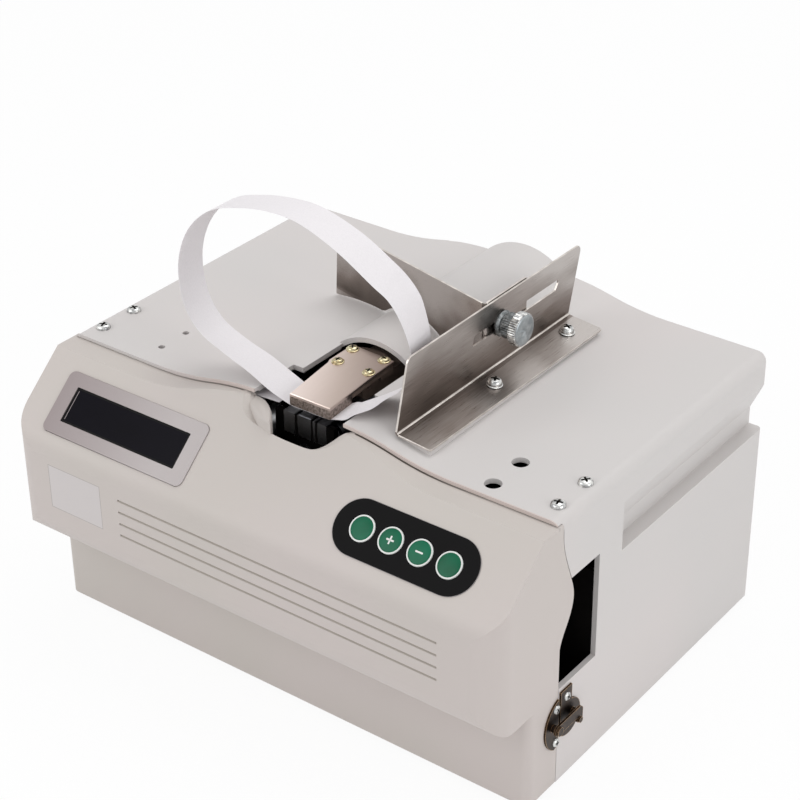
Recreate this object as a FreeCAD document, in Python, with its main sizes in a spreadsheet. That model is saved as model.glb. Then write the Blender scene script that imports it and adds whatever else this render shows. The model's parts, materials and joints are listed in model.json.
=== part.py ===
import FreeCAD, Part
import math
import os

import Sketcher
from FreeCAD import Placement, Rotation, Vector

# Banknote strapping machine, millimetres.
# Origin: middle of the footprint on the table. +X to the right, +Y to the rear, +Z up.
# The operator stands at -Y and pushes a stack of notes through the standing tape loop.

doc = FreeCAD.newDocument("banknote_strapping_machine")
sheet = doc.addObject("Spreadsheet::Sheet", "dims")

DRIVING_DIMENSIONS = dict(
    body_width=330.0,          # side wall to side wall
    body_depth=267.0,          # front of the control bulge to the rear wall
    foot_height=3.0,           # rubber feet lift the shell off the table
    wall=3.0,                  # moulded wall thickness
    seam_y=-75.0,              # vertical parting plane between housing and front cover
    lower_front_y=-101.5,      # recessed lower front of the cover
    bulge_bottom=64.0,         # underside of the control bulge
    deck_height=169.5,         # flat sides of the deck
    deck_rise=9.0,             # how far the middle of the deck stands above its sides
    rise_inner=24.0,           # half width of the raised plateau
    rise_outer=100.0,          # where the rise starts
    deck_lip=3.8,              # the deck overhangs the front cover by this
    lip_thickness=2.0,
    cover_drop=2.4,            # cover top lies this far under the deck top
    hump_radius=39.0,          # half round hump over the gear motor
    hump_mouth_y=-12.0,        # the hump ends here in an open mouth
    shaft_height=149.0,        # cam shaft and gear motor axis
    slope_y=-92.5,             # one point of the control face
    slope_z=166.8,
    slope_angle=41.35,         # control face against the horizontal
    opening_left=23.5,         # head opening in the deck, each way from the middle
    opening_right=25.0,
    opening_front_left=30.5,   # its wider part at the front of the deck
    opening_front_right=30.0,
    opening_step_y=-46.0,
    tape_width=20.0,
    tape_front_y=-74.5,        # near edge of the tape in the head and on the reel
    tape_level=174.0,          # height at which the tape passes under the anvil
    anvil_top=182.0,
    guide_x=58.0,              # outer face of the upright side guide
    guide_sheet=1.2,
    guide_front_y=-69.5,
    guide_rear_y=93.0,
    guide_top=221.0,
    slot_height=202.0,         # slot for the thumb screw
    slot_front_y=-2.5,
    slot_rear_y=78.5,
    slot_width=5.4,
    stud_y=24.0,               # thumb screw at rest
    key_pitch=18.1,
    key_middle_x=96.55,
    key_down=28.4,             # keys lie this far down the slope
    key_radius=7.3,
    display_x=-94.7,
    display_down=28.0,
    bezel_width=102.7,
    bezel_height=37.1,
    window_width=83.8,
    window_height=21.3,
    reel_x=95.0,
    reel_height=72.0,
    roll_radius=48.0,
    reel_radius=55.0,
    roller_x=-57.0,
    roller_height=146.0,
    roller_radius=12.0,
    pinch_radius=9.6,
    hinge_x=-168.2,
    latch_height=44.0,
)


class Size:
    """A length that carries its value and the spreadsheet expression it comes from."""

    def __init__(self, value, text):
        self.value = float(value)
        self.text = text

    def __add__(self, other):
        other = as_size(other)
        return Size(self.value + other.value, f"({self.text} + {other.text})")

    def __sub__(self, other):
        other = as_size(other)
        return Size(self.value - other.value, f"({self.text} - {other.text})")

    def __mul__(self, other):
        other = as_size(other)
        return Size(self.value * other.value, f"({self.text} * {other.text})")

    def __truediv__(self, other):
        other = as_size(other)
        return Size(self.value / other.value, f"({self.text} / {other.text})")

    def __neg__(self):
        return Size(-self.value, f"(0 - {self.text})")

    def __radd__(self, other):
        return as_size(other) + self

    def __rsub__(self, other):
        return as_size(other) - self

    def __rmul__(self, other):
        return as_size(other) * self

    def __float__(self):
        return self.value


def as_size(value):
    if isinstance(value, Size):
        return value
    return Size(value, f"({float(value)!r})")


class Dimensions:
    """Gives each spreadsheet cell as a Size, by its alias."""


def fill_sheet():
    dims = Dimensions()
    for row, (alias, value) in enumerate(DRIVING_DIMENSIONS.items(), start=1):
        sheet.set(f"A{row}", alias)
        sheet.set(f"B{row}", str(value))
        sheet.setAlias(f"B{row}", alias)
        setattr(dims, alias, Size(value, f"dims.{alias}"))
    doc.recompute()
    return dims


d = fill_sheet()

# Values that the moulded shells and formed sheets read from the sheet.
HALF_WIDTH = float(d.body_width) / 2
FRONT = -float(d.body_depth) / 2
REAR = float(d.body_depth) / 2
FOOT = float(d.foot_height)
WALL = float(d.wall)
SEAM = float(d.seam_y)
DECK = float(d.deck_height)
PLATEAU = DECK + float(d.deck_rise)
SHAFT_Z = float(d.shaft_height)
TAPE_MIDDLE_Y = float(d.tape_front_y) + float(d.tape_width) / 2
RUNNING = 0.05                 # radial clearance of a shaft in its bore

X_AXIS = Vector(1, 0, 0)
Y_AXIS = Vector(0, 1, 0)
Z_AXIS = Vector(0, 0, 1)
TO_X = Rotation(Z_AXIS, X_AXIS)
TO_Y = Rotation(Z_AXIS, Y_AXIS)
TO_Z = Rotation()

sub_parts = []


def keep(obj, label):
    """Registers a finished sub-part under the name of its node."""
    obj.Label = label
    sub_parts.append(obj)
    return obj


def bind(obj, prop, value):
    """Sets one size or coordinate, from the sheet where it comes from there."""
    size = as_size(value)
    if isinstance(value, Size):
        obj.setExpression(prop, size.text)
    return size.value


def put(obj, at, turn=TO_Z):
    obj.Placement = Placement(Vector(*[as_size(v).value for v in at]), turn)
    for axis, value in zip("xyz", at):
        bind(obj, f"Placement.Base.{axis}", value)
    return obj


def block(low, high):
    """Part::Box between two opposite corners."""
    obj = doc.addObject("Part::Box", "block")
    for prop, a, b in zip(("Length", "Width", "Height"), low, high):
        span = as_size(b) - as_size(a)
        setattr(obj, prop, span.value)
        if isinstance(a, Size) or isinstance(b, Size):
            obj.setExpression(prop, span.text)
    return put(obj, low)


def rod(radius, length, at, turn=TO_Z):
    """Part::Cylinder that starts at a point and runs along +X, +Y or +Z."""
    obj = doc.addObject("Part::Cylinder", "rod")
    obj.Radius = bind(obj, "Radius", radius)
    obj.Height = bind(obj, "Height", length)
    return put(obj, at, turn)


def cone(radius_1, radius_2, length, at, turn=TO_Z):
    obj = doc.addObject("Part::Cone", "cone")
    obj.Radius1 = bind(obj, "Radius1", radius_1)
    obj.Radius2 = bind(obj, "Radius2", radius_2)
    obj.Height = bind(obj, "Height", length)
    return put(obj, at, turn)


def fuse(*objs):
    obj = doc.addObject("Part::MultiFuse", "fuse")
    obj.Shapes = list(objs)
    obj.Refine = True
    return obj


def cut(base, *tools):
    obj = doc.addObject("Part::Cut", "cut")
    obj.Base = base
    obj.Tool = tools[0] if len(tools) == 1 else fuse(*tools)
    obj.Refine = True
    return obj


def group(*objs):
    """Several separate solids that share one node."""
    obj = doc.addObject("Part::Compound", "group")
    obj.Links = list(objs)
    return obj


def formed(shape, placement=None):
    """A moulded or freely curved form, made with Part's own functions."""
    obj = doc.addObject("Part::Feature", "formed")
    obj.Shape = shape
    if placement:
        obj.Placement = placement
    return obj


def edge_rounding(base, radius, chosen):
    """Part::Fillet on the edges of a base that a test picks."""
    doc.recompute()
    obj = doc.addObject("Part::Fillet", "rounding")
    obj.Base = base
    picked = [i + 1 for i, edge in enumerate(base.Shape.Edges) if chosen(edge)]
    obj.Edges = [(number, radius, radius) for number in picked]
    return obj


def faceted(radius, length, at=(0.0, 0.0, 0.0), sides=12, top=None):
    """Small fastener stock: a prism or frustum with a regular outline, along Z."""
    def ring(r, z):
        corners = [Vector(at[0] + r * math.cos(2 * math.pi * i / sides),
                          at[1] + r * math.sin(2 * math.pi * i / sides), at[2] + z)
                   for i in range(sides)]
        return Part.makePolygon(corners + [corners[0]])

    if top is None:
        return Part.Face(ring(radius, 0.0)).extrude(Vector(0, 0, length))
    return Part.makeLoft([ring(radius, 0.0), ring(top, length)], True, True)


def runs_along(edge, axis):
    if len(edge.Vertexes) != 2 or edge.Curve.TypeId != "Part::GeomLine":
        return False
    return abs(edge.tangentAt(edge.FirstParameter).dot(axis)) > 0.999


# ---------------------------------------------------------------- sketched plates

def origin_plane(body, role):
    return [f for f in body.Origin.OriginFeatures if f.Role == role][0]


def polygon_sketch(body, role, points, offset=0.0):
    """A closed outline whose every corner is held by two bound dimensions."""
    sketch = body.newObject("Sketcher::SketchObject", "outline")
    sketch.AttachmentSupport = [(origin_plane(body, role), "")]
    sketch.MapMode = "FlatFace"
    shift = as_size(offset)
    sketch.AttachmentOffset = Placement(Vector(0, 0, shift.value), Rotation())
    if isinstance(offset, Size):
        sketch.setExpression("AttachmentOffset.Base.z", shift.text)
    corners = [(as_size(u), as_size(v)) for u, v in points]
    flat = [Vector(u.value, v.value, 0) for u, v in corners]
    count = len(flat)
    for i in range(count):
        sketch.addGeometry(Part.LineSegment(flat[i], flat[(i + 1) % count]), False)
    for i in range(count):
        sketch.addConstraint(Sketcher.Constraint("Coincident", i, 2, (i + 1) % count, 1))
    for i, (u, v) in enumerate(corners):
        for kind, size in (("DistanceX", u), ("DistanceY", v)):
            index = sketch.addConstraint(Sketcher.Constraint(kind, i, 1, size.value))
            if "dims." in size.text:
                sketch.setExpression(f"Constraints[{index}]", size.text)
    return sketch


def circle_sketch(body, role, circles, offset=0.0):
    sketch = body.newObject("Sketcher::SketchObject", "circles")
    sketch.AttachmentSupport = [(origin_plane(body, role), "")]
    sketch.MapMode = "FlatFace"
    sketch.AttachmentOffset = Placement(Vector(0, 0, as_size(offset).value), Rotation())
    for i, (u, v, radius) in enumerate(circles):
        centre = Vector(as_size(u).value, as_size(v).value, 0)
        sketch.addGeometry(Part.Circle(centre, Z_AXIS, as_size(radius).value), False)
        sketch.addConstraint(Sketcher.Constraint("Radius", i, as_size(radius).value))
        for kind, size in (("DistanceX", as_size(u)), ("DistanceY", as_size(v))):
            index = sketch.addConstraint(Sketcher.Constraint(kind, i, 3, size.value))
            if "dims." in size.text:
                sketch.setExpression(f"Constraints[{index}]", size.text)
    return sketch


def padded_plate(role, points, thickness, offset=0.0, reverse=False):
    """PartDesign body: one outline padded to a plate."""
    body = doc.addObject("PartDesign::Body", "plate")
    pad = body.newObject("PartDesign::Pad", "pad")
    pad.Profile = polygon_sketch(body, role, points, offset)
    pad.Length = as_size(thickness).value
    if isinstance(thickness, Size):
        pad.setExpression("Length", thickness.text)
    pad.Reversed = reverse
    body.Tip = pad
    doc.recompute()
    return body, pad


def drill(body, role, circles, depth, offset=0.0, reverse=False):
    pocket = body.newObject("PartDesign::Pocket", "holes")
    pocket.Profile = circle_sketch(body, role, circles, offset)
    pocket.Length = depth
    pocket.Reversed = reverse
    body.Tip = pocket
    doc.recompute()
    return pocket


def soften(body, feature, radius, chosen):
    """PartDesign fillet on the edges of a feature that a test picks."""
    fillet = body.newObject("PartDesign::Fillet", "rounded")
    names = [f"Edge{i + 1}" for i, edge in enumerate(feature.Shape.Edges) if chosen(edge)]
    fillet.Base = (feature, names)
    fillet.Radius = radius
    body.Tip = fillet
    doc.recompute()
    return fillet


# ---------------------------------------------------------------- curved outlines

def arc(p, q, r):
    return Part.Arc(p, q, r).toShape()


def line(p, q):
    return Part.LineSegment(p, q).toShape()


def prism(edges, direction):
    return Part.Face(Part.Wire(edges)).extrude(direction)


def deck_z(x, drop=0.0):
    """Height of the deck over x: flat sides, two tangent arcs, flat plateau."""
    inner, outer, rise = float(d.rise_inner), float(d.rise_outer), float(d.deck_rise)
    half = (outer - inner) / 2
    radius = (half * half + rise * rise / 4) / rise
    a = min(max(abs(x), inner), outer)
    if a <= inner + half:
        return PLATEAU - drop - radius + math.sqrt(radius ** 2 - (a - inner) ** 2)
    return DECK - drop + radius - math.sqrt(radius ** 2 - (outer - a) ** 2)


def under_deck(half_width, drop, y_front, y_rear, bottom=0.0):
    """Everything under the deck surface, as a prism along Y."""
    inner, outer = float(d.rise_inner), float(d.rise_outer)
    middle = (inner + outer) / 2

    def at(x):
        return Vector(x, y_front, deck_z(x, drop))

    def curve(a, b):
        return arc(at(a), at((a + b) / 2), at(b))

    low_left = Vector(-half_width, y_front, bottom)
    low_right = Vector(half_width, y_front, bottom)
    edges = [
        line(low_left, at(-half_width)),
        line(at(-half_width), at(-outer)),
        curve(-outer, -middle),
        curve(-middle, -inner),
        line(at(-inner), at(inner)),
        curve(inner, middle),
        curve(middle, outer),
        line(at(outer), at(half_width)),
        line(at(half_width), low_right),
        line(low_right, low_left),
    ]
    return prism(edges, Vector(0, y_rear - y_front, 0))


def hump(radius, y_front, y_rear):
    """Half round hump along Y."""
    barrel = Part.makeCylinder(radius, y_rear - y_front, Vector(0, y_front, SHAFT_Z), Y_AXIS)
    return barrel.common(Part.makeBox(120, 300, 60, Vector(-60, -60, DECK - 12)))


def eased(stations, steps, closed=False):
    """Stations joined by Catmull-Rom curves, with so many steps from one to the next."""
    count = len(stations)
    result = []
    for i in range(count if closed else count - 1):
        near = [i - 1, i, i + 1, i + 2]
        near = [k % count if closed else min(max(k, 0), count - 1) for k in near]
        for step in range(steps):
            t = step / steps
            weights = (t * t - (t + t ** 3) / 2, 1 - 2.5 * t * t + 1.5 * t ** 3,
                       t / 2 + 2 * t * t - 1.5 * t ** 3, (t ** 3 - t * t) / 2)
            result.append([sum(w * stations[k][axis] for w, k in zip(weights, near))
                           for axis in range(len(stations[0]))])
    return result if closed else result + [list(stations[-1])]


def ring(points):
    """Closed polygon through points in space."""
    corners = [Vector(*point) for point in points]
    return Part.makePolygon(corners + corners[:1])


def outline_prism(points, x_low, x_high):
    """Polygon in the YZ plane, extruded along X."""
    corners = [Vector(x_low, y, z) for y, z in points]
    wire = Part.makePolygon(corners + [corners[0]])
    return Part.Face(wire).extrude(Vector(x_high - x_low, 0, 0))


def rounded_box(width, height, radius, depth, centre=(0.0, 0.0), bottom=0.0):
    """Flat box with rounded corners, in its own XY plane."""
    box = Part.makeBox(width, height, depth)
    box.translate(Vector(centre[0] - width / 2, centre[1] - height / 2, bottom))
    corners = [edge for edge in box.Edges if runs_along(edge, Z_AXIS)]
    return box.makeFillet(radius, corners)


SLOPE = Placement(Vector(0, float(d.slope_y), float(d.slope_z)),
                  Rotation(X_AXIS, float(d.slope_angle)))


def on_slope(shape):
    """Moves a shape from a flat drawing board onto the control face."""
    placed = shape.copy()
    placed.Placement = SLOPE.multiply(placed.Placement)
    return placed


# ---------------------------------------------------------------- moulded housing

# Edge of the front cover on the right wall, as (y, z): it swells back beside the window.
COVER_EDGE = [(-75.4, 163.0), (-74.0, 151.0), (-66.7, 130.4), (-63.8, 119.0),
              (-67.2, 106.5), (-72.7, 97.5), (-75.4, 84.0)]
WINDOW = dict(y_rear=-40.0, bottom=65.0, top=130.4)
# Finger grooves under the deck edge: outside and inside of the wall, as (depth, z).
GROOVE_OUTSIDE = [(-1.0, 120.0), (8.6, 120.0), (8.6, 131.0), (0.0, 150.0), (-1.0, 150.0)]
GROOVE_INSIDE = [(-1.0, 117.0), (11.6, 117.0), (11.6, 131.7), (-1.0, 159.5)]
GROOVE_FRONT_Y = -18.0
DECK_SCREWS = [(side * 155.0, y) for side in (-1, 1) for y in (-65.5, -40.5)]
BRACKET_SCREWS = [(66.4, 4.2), (66.4, 78.6)]
SMALL_HOLES = [(-113.0, -62.5), (-113.0, -42.5)]
LARGE_HOLES = [(117.5, -68.0), (117.5, -43.5)]
INLET = (-118.0, 44.0, 27.6, 20.0)          # x, z, width, height of the wall opening
SWITCH = (-86.0, 44.0, 13.0, 19.4)
RIM_WIDTH, RIM_THICKNESS = 3.0, 1.3         # flanges of inlet and switch, let into the wall


def swollen_edge(shift, x_low, x_high):
    """Lobe of the cover on the right wall, grown rearward by shift."""
    points = [Vector(x_low, y + shift, z) for y, z in COVER_EDGE]
    curve = Part.BSplineCurve()
    curve.interpolate(points)
    flat_y = SEAM - 2.0
    top = Vector(x_low, flat_y, points[0].z)
    low = Vector(x_low, flat_y, points[-1].z)
    edges = [curve.toShape(), line(points[-1], low), line(low, top), line(top, points[0])]
    return prism(edges, Vector(x_high - x_low, 0, 0))


def groove_tool(side, outline, y_front):
    """Finger groove along one side wall, from y_front to the rear."""
    corners = [Vector(side * (HALF_WIDTH - depth), y_front, z) for depth, z in outline]
    wire = Part.makePolygon(corners + [corners[0]])
    return Part.Face(wire).extrude(Vector(0, REAR + 1 - y_front, 0))


def head_opening(bottom, top):
    """Opening in the deck round the strapping head, open to the front, as a tool."""
    front, step_y, rear = SEAM - 10.0, float(d.opening_step_y), float(d.hump_mouth_y)
    left, right = -float(d.opening_left), float(d.opening_right)
    wide_left, wide_right = -float(d.opening_front_left), float(d.opening_front_right)
    plan = [(wide_left, front), (wide_left, step_y), (left, step_y), (left, rear),
            (right, rear), (right, step_y), (wide_right, step_y), (wide_right, front)]
    tool = Part.Face(ring([(x, y, bottom) for x, y in plan])).extrude(Vector(0, 0, top - bottom))
    return tool.makeFillet(0.6, [e for e in tool.Edges if runs_along(e, Z_AXIS)
                                 and abs(e.BoundBox.YMin - step_y) < 0.01])


# (y, z offset from the latch height): two screws in the cover, one in the housing
LATCH_SCREWS = [(-78.3, 10.6), (-78.3, -11.2), (SEAM + 6.4, 13.2)]


def screw_hole(y, z, x=HALF_WIDTH):
    hole = faceted(1.7, 9.0, (0, 0, -6.0))
    hole.Placement = Placement(Vector(x, y, z), TO_X)
    return hole


def wall_opening(x, z, width, height, y):
    """Block from y through the outside of the rear wall."""
    return Part.makeBox(width, 20, height, Vector(x - width / 2, y, z - height / 2))


def side_edge(edge):
    """Long top edges of the shell at its left and right."""
    box = edge.BoundBox
    return runs_along(edge, Y_AXIS) and abs(abs(box.XMin) - HALF_WIDTH) < 0.01 and box.ZMin > DECK - 1


def make_main_housing():
    """Deck, side walls and rear wall in one moulding."""
    lip_front = SEAM - float(d.deck_lip)
    outer = under_deck(HALF_WIDTH, 0.0, lip_front, REAR, FOOT)
    outer = outer.makeFillet(6.0, [e for e in outer.Edges if side_edge(e)])
    rear_top = [e for e in outer.Edges if e.BoundBox.YMin > REAR - 0.01 and e.BoundBox.ZMin > FOOT + 1]
    outer = outer.makeFillet(3.0, rear_top)
    under_lip = under_deck(HALF_WIDTH + 5, float(d.lip_thickness), lip_front - 5, SEAM, FOOT - 5)
    outer = outer.cut(under_lip)
    mouth_y = float(d.hump_mouth_y)
    outer = outer.fuse(hump(float(d.hump_radius), mouth_y, REAR))
    for side in (-1, 1):
        outer = outer.cut(groove_tool(side, GROOVE_OUTSIDE, GROOVE_FRONT_Y))
    inner = under_deck(HALF_WIDTH - WALL, WALL, SEAM - 1, REAR - WALL, FOOT - 5)
    inner = inner.fuse(hump(float(d.hump_radius) - WALL, mouth_y - 1, REAR - WALL))
    for side in (-1, 1):
        inner = inner.cut(groove_tool(side, GROOVE_INSIDE, GROOVE_FRONT_Y - WALL))
    shell = outer.cut(inner)
    tools = [head_opening(DECK - 8, PLATEAU + 30)]
    tools.append(swollen_edge(0.5, HALF_WIDTH - WALL - 2, HALF_WIDTH + 2))
    tools.append(Part.makeBox(WALL + 3, WINDOW["y_rear"] - SEAM + 5, WINDOW["top"] - WINDOW["bottom"],
                              Vector(HALF_WIDTH - WALL - 1, SEAM - 5, WINDOW["bottom"])))
    tools += [Part.makeCylinder(2.0, 30, Vector(x, y, DECK - 10)) for x, y in SMALL_HOLES]
    tools += [Part.makeCylinder(4.75, 30, Vector(x, y, DECK - 10)) for x, y in LARGE_HOLES]
    tools += [faceted(2.9, 30, (x, y, DECK - 10)) for x, y in BRACKET_SCREWS]
    for x, z, width, height in (INLET, SWITCH):
        tools.append(wall_opening(x, z, width, height, REAR - WALL - 1))
        tools.append(wall_opening(x, z, width + 2 * RIM_WIDTH + 0.3, height + 2 * RIM_WIDTH + 0.3,
                                  REAR - RIM_THICKNESS - 0.1))
    shell = shell.cut(Part.makeCompound(tools).childShapes())
    shell = shell.cut(screw_hole(LATCH_SCREWS[2][0], float(d.latch_height) + LATCH_SCREWS[2][1]))
    for x, y in DECK_SCREWS:
        post = Part.makeBox(9, 9, 14, Vector(x - 4.5, y - 4.5, DECK - WALL - 13.5))
        shell = shell.fuse(post).cut(faceted(1.7, 30, (x, y, DECK - 9)))
    keep(formed(shell.removeSplitter()), "main_housing")


# ---------------------------------------------------------------- front cover

BULGE_TOP_RADIUS = 15.0
BULGE_BOTTOM_RADIUS = 18.0
BULGE_CORNER_RADIUS = 15.0
SLOT_COUNT = 4
SLOT_PITCH = 7.6
SLOT_LOWEST_Z = 92.7
SLOT_LEFT, SLOT_RIGHT = -85.0, 130.0
# Thumb notch round the tongue, from left to right: the rim on the cover and the foot of its lip.
NOTCH_RIM = [(-36.5, -70.0), (-35.6, -79.0), (-32.5, -86.5), (-26.0, -90.6), (-14.0, -92.6),
             (-3.0, -93.4), (8.0, -93.6), (19.5, -93.2), (27.6, -90.3), (34.1, -85.0),
             (37.4, -78.5), (38.0, -70.0)]
NOTCH_FOOT = [(-33.0, -70.0), (-31.0, -77.0), (-25.5, -81.6), (-19.5, -85.2), (-14.6, -89.6),
              (-6.0, -91.5), (8.0, -92.1), (18.6, -91.0), (22.6, -87.2), (27.5, -82.6),
              (32.6, -77.0), (34.6, -70.0)]
NOTCH_LIP = 5.0                # depth over which the lip rolls into the wall


def cover_side_profile(inset):
    """Side view of the cover as one prism along X, shrunk by inset."""
    slope = math.radians(float(d.slope_angle))
    front_y = FRONT + inset
    slope_y = float(d.slope_y) + inset * math.sin(slope)
    slope_z = float(d.slope_z) - inset * math.cos(slope)

    def on_face(y):
        return slope_z + (y - slope_y) * math.tan(slope)

    seam_y = SEAM - 0.4 + (3.0 if inset else 0.0)
    low_y = float(d.lower_front_y) + inset
    bottom = FOOT + 0.5 + inset
    under = float(d.bulge_bottom) + inset
    top_r = BULGE_TOP_RADIUS - inset
    low_r = BULGE_BOTTOM_RADIUS - inset
    bend = top_r * math.tan((math.pi / 2 - slope) / 2)
    knee_z = on_face(front_y)
    tangent_low = Vector(0, front_y, knee_z - bend)
    tangent_high = Vector(0, front_y + bend * math.cos(slope), knee_z + bend * math.sin(slope))
    half = (math.pi / 2 - slope) / 2
    centre = Vector(0, front_y + top_r, knee_z - bend)
    knee = centre + Vector(0, -top_r * math.cos(half), top_r * math.sin(half))
    root = low_r * math.sqrt(0.5)
    p = [Vector(0, seam_y, bottom), Vector(0, low_y, bottom), Vector(0, low_y, under),
         Vector(0, front_y + low_r, under),
         Vector(0, front_y + low_r - root, under + low_r - root),
         Vector(0, front_y, under + low_r)]
    top = Vector(0, seam_y, on_face(seam_y))
    edges = [line(p[0], p[1]), line(p[1], p[2]), line(p[2], p[3]), arc(p[3], p[4], p[5]),
             line(p[5], tangent_low), arc(tangent_low, knee, tangent_high),
             line(tangent_high, top), line(top, p[0])]
    solid = prism(edges, Vector(2 * (HALF_WIDTH - inset), 0, 0))
    solid.translate(Vector(-(HALF_WIDTH - inset), 0, 0))
    return solid


def cover_plan(inset):
    """Plan view of the cover: rounded vertical corners of the bulge."""
    half, front = HALF_WIDTH - inset, FRONT + inset
    radius = BULGE_CORNER_RADIUS - inset
    back = SEAM + 10
    root = radius * (1 - math.sqrt(0.5))
    p = [Vector(-half, back, 0), Vector(-half, front + radius, 0),
         Vector(-half + root, front + root, 0), Vector(-half + radius, front, 0),
         Vector(half - radius, front, 0), Vector(half - root, front + root, 0),
         Vector(half, front + radius, 0), Vector(half, back, 0)]
    edges = [line(p[0], p[1]), arc(p[1], p[2], p[3]), line(p[3], p[4]),
             arc(p[4], p[5], p[6]), line(p[6], p[7]), line(p[7], p[0])]
    return prism(edges, Vector(0, 0, 200))


def cover_form(inset):
    solid = cover_side_profile(inset)
    solid = solid.common(under_deck(HALF_WIDTH - inset, float(d.cover_drop) + inset,
                                    FRONT - 5, SEAM + 8, 0.0))
    return solid.common(cover_plan(inset))


def cover_top_z(x, y):
    """Outside of the cover over a point: the flat strip or the control face."""
    rise = (y - float(d.slope_y)) * math.tan(math.radians(float(d.slope_angle)))
    return min(deck_z(x, float(d.cover_drop)), float(d.slope_z) + rise)


def notch_collar(bottom, top):
    """Plug a little wider than the notch: what is left of it is the wall under the lip."""
    grown = [(1.0 + (x - 1.0) * 1.05, -74.0 + (y + 74.0) * 1.1, bottom)
             for x, y in eased(NOTCH_RIM, 4)]
    return Part.Face(ring(grown)).extrude(Vector(0, 0, top - bottom))


def notch_tool(bottom, top):
    """Thumb notch whose lip rolls from the cover's surface down into an upright wall."""
    rim, foot = eased(NOTCH_RIM, 4), eased(NOTCH_FOOT, 4)
    levels = [[(x, y, bottom) for x, y in foot]]
    for turn in (90, 60, 30, 0):
        inward, drop = math.sin(math.radians(turn)), NOTCH_LIP * (1 - math.cos(math.radians(turn)))
        levels.append([(a[0] + (b[0] - a[0]) * inward, a[1] + (b[1] - a[1]) * inward,
                        cover_top_z(*a) + 0.02 - drop) for a, b in zip(rim, foot)])
    levels.append([(x, y, top) for x, y in rim])
    return Part.makeLoft([ring(level) for level in levels], True, True)


def slot_tool(z):
    """Shallow V-groove across the front of the bulge."""
    mouth, depth = 1.5, 1.4
    points = [Vector(0, FRONT - 0.5, z - mouth), Vector(0, FRONT + depth, z),
              Vector(0, FRONT - 0.5, z + mouth / 3)]
    wire = Part.makePolygon(points + [points[0]])
    tool = Part.Face(wire).extrude(Vector(SLOT_RIGHT - SLOT_LEFT, 0, 0))
    tool.translate(Vector(SLOT_LEFT, 0, 0))
    return tool


def make_front_cover():
    """Control bulge, slanted control face and the notched top strip in one moulding."""
    outer = cover_form(0.0)
    low_corners = [e for e in outer.Edges if runs_along(e, Z_AXIS)
                   and abs(e.BoundBox.YMin - float(d.lower_front_y)) < 0.01]
    outer = outer.makeFillet(5.0, low_corners)
    inner = cover_form(WALL)
    shell = outer.cut(inner)
    collar = notch_collar(150.0, 190.0).common(outer)
    shell = shell.fuse(collar).cut(notch_tool(140.0, 195.0))
    shell = shell.cut(Part.makeBox(90, 30, 14, Vector(-44, SEAM - 0.4, 149)))
    lobe = swollen_edge(0.0, HALF_WIDTH - WALL, HALF_WIDTH)
    shell = shell.fuse(lobe)
    tools = [slot_tool(SLOT_LOWEST_Z + i * SLOT_PITCH) for i in range(SLOT_COUNT)]
    display = (float(d.display_x), -float(d.display_down))
    keypad = (float(d.key_middle_x), -float(d.key_down))
    tools.append(on_slope(rounded_box(float(d.bezel_width) + 0.4, float(d.bezel_height) + 0.4, 4.2,
                                      4.0, display, -1.4)))
    tools.append(on_slope(rounded_box(94.0, 27.0, 1.5, 10.0, display, -7.0)))
    tools.append(on_slope(rounded_box(88.4, 31.4, 15.6, 4.0, keypad, -0.7)))
    tools.append(on_slope(rounded_box(74.0, 18.0, 8.0, 10.0, keypad, -7.0)))
    tools += [screw_hole(y, float(d.latch_height) + rise) for y, rise in LATCH_SCREWS[:2]]
    shell = shell.cut(Part.makeCompound(tools).childShapes())
    keep(formed(shell.removeSplitter()), "front_cover")


def key_places():
    """Key centres on the drawing board of the control face."""
    pitch, middle, down = float(d.key_pitch), float(d.key_middle_x), float(d.key_down)
    return [(middle + (i - 1.5) * pitch, -down) for i in range(4)]


def make_controls():
    """Display and keypad, all seated in the slanted face."""
    display = (float(d.display_x), -float(d.display_down))
    keypad = (float(d.key_middle_x), -float(d.key_down))
    bezel = rounded_box(float(d.bezel_width), float(d.bezel_height), 4.0, 2.2, display, -1.4)
    bezel = bezel.cut(rounded_box(float(d.window_width), float(d.window_height), 0.6, 6.0,
                                  display, -3.0))
    keep(formed(on_slope(bezel)), "display_bezel")
    window = rounded_box(float(d.window_width) - 0.2, float(d.window_height) - 0.2, 0.5, 1.8,
                         display, -1.4)
    keep(formed(on_slope(window)), "display_window")
    module = rounded_box(92.0, 25.0, 1.0, 5.6, display, -7.4)
    board = rounded_box(98.0, 36.0, 1.0, 1.6, display, -9.0)
    keep(formed(on_slope(module.fuse(board))), "display_module")
    panel = rounded_box(88.0, 31.0, 15.4, 1.1, keypad, -0.7)
    for x, y in key_places():
        panel = panel.cut(Part.makeCylinder(float(d.key_radius) + 0.35, 6, Vector(x, y, -3)))
    keep(formed(on_slope(panel)), "keypad_panel")
    for name, (x, y) in zip(("key_function", "key_plus", "key_minus", "key_reset"), key_places()):
        cap = Part.makeCylinder(float(d.key_radius), 1.7, Vector(x, y, -0.9))
        cap = cap.makeChamfer(0.35, [e for e in cap.Edges if e.BoundBox.ZMin > 0.7])
        stem = Part.makeBox(3.4, 3.4, 2.4, Vector(x - 1.7, y - 1.7, -3.2))
        keep(formed(on_slope(cap.fuse(stem))), name)
    pcb = rounded_box(86.0, 24.0, 1.0, 1.6, keypad, -8.4)
    for x, y in key_places():
        pcb = pcb.fuse(Part.makeBox(6.0, 6.0, 2.8, Vector(x - 3, y - 3, -6.9)))
    keep(formed(on_slope(pcb)), "keypad_board")


# ---------------------------------------------------------------- base, hinge, latch

HINGE_HEIGHTS = (32.0, 108.0)
HINGE_LENGTH = 30.0
KNUCKLE_RADIUS = 3.0


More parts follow.
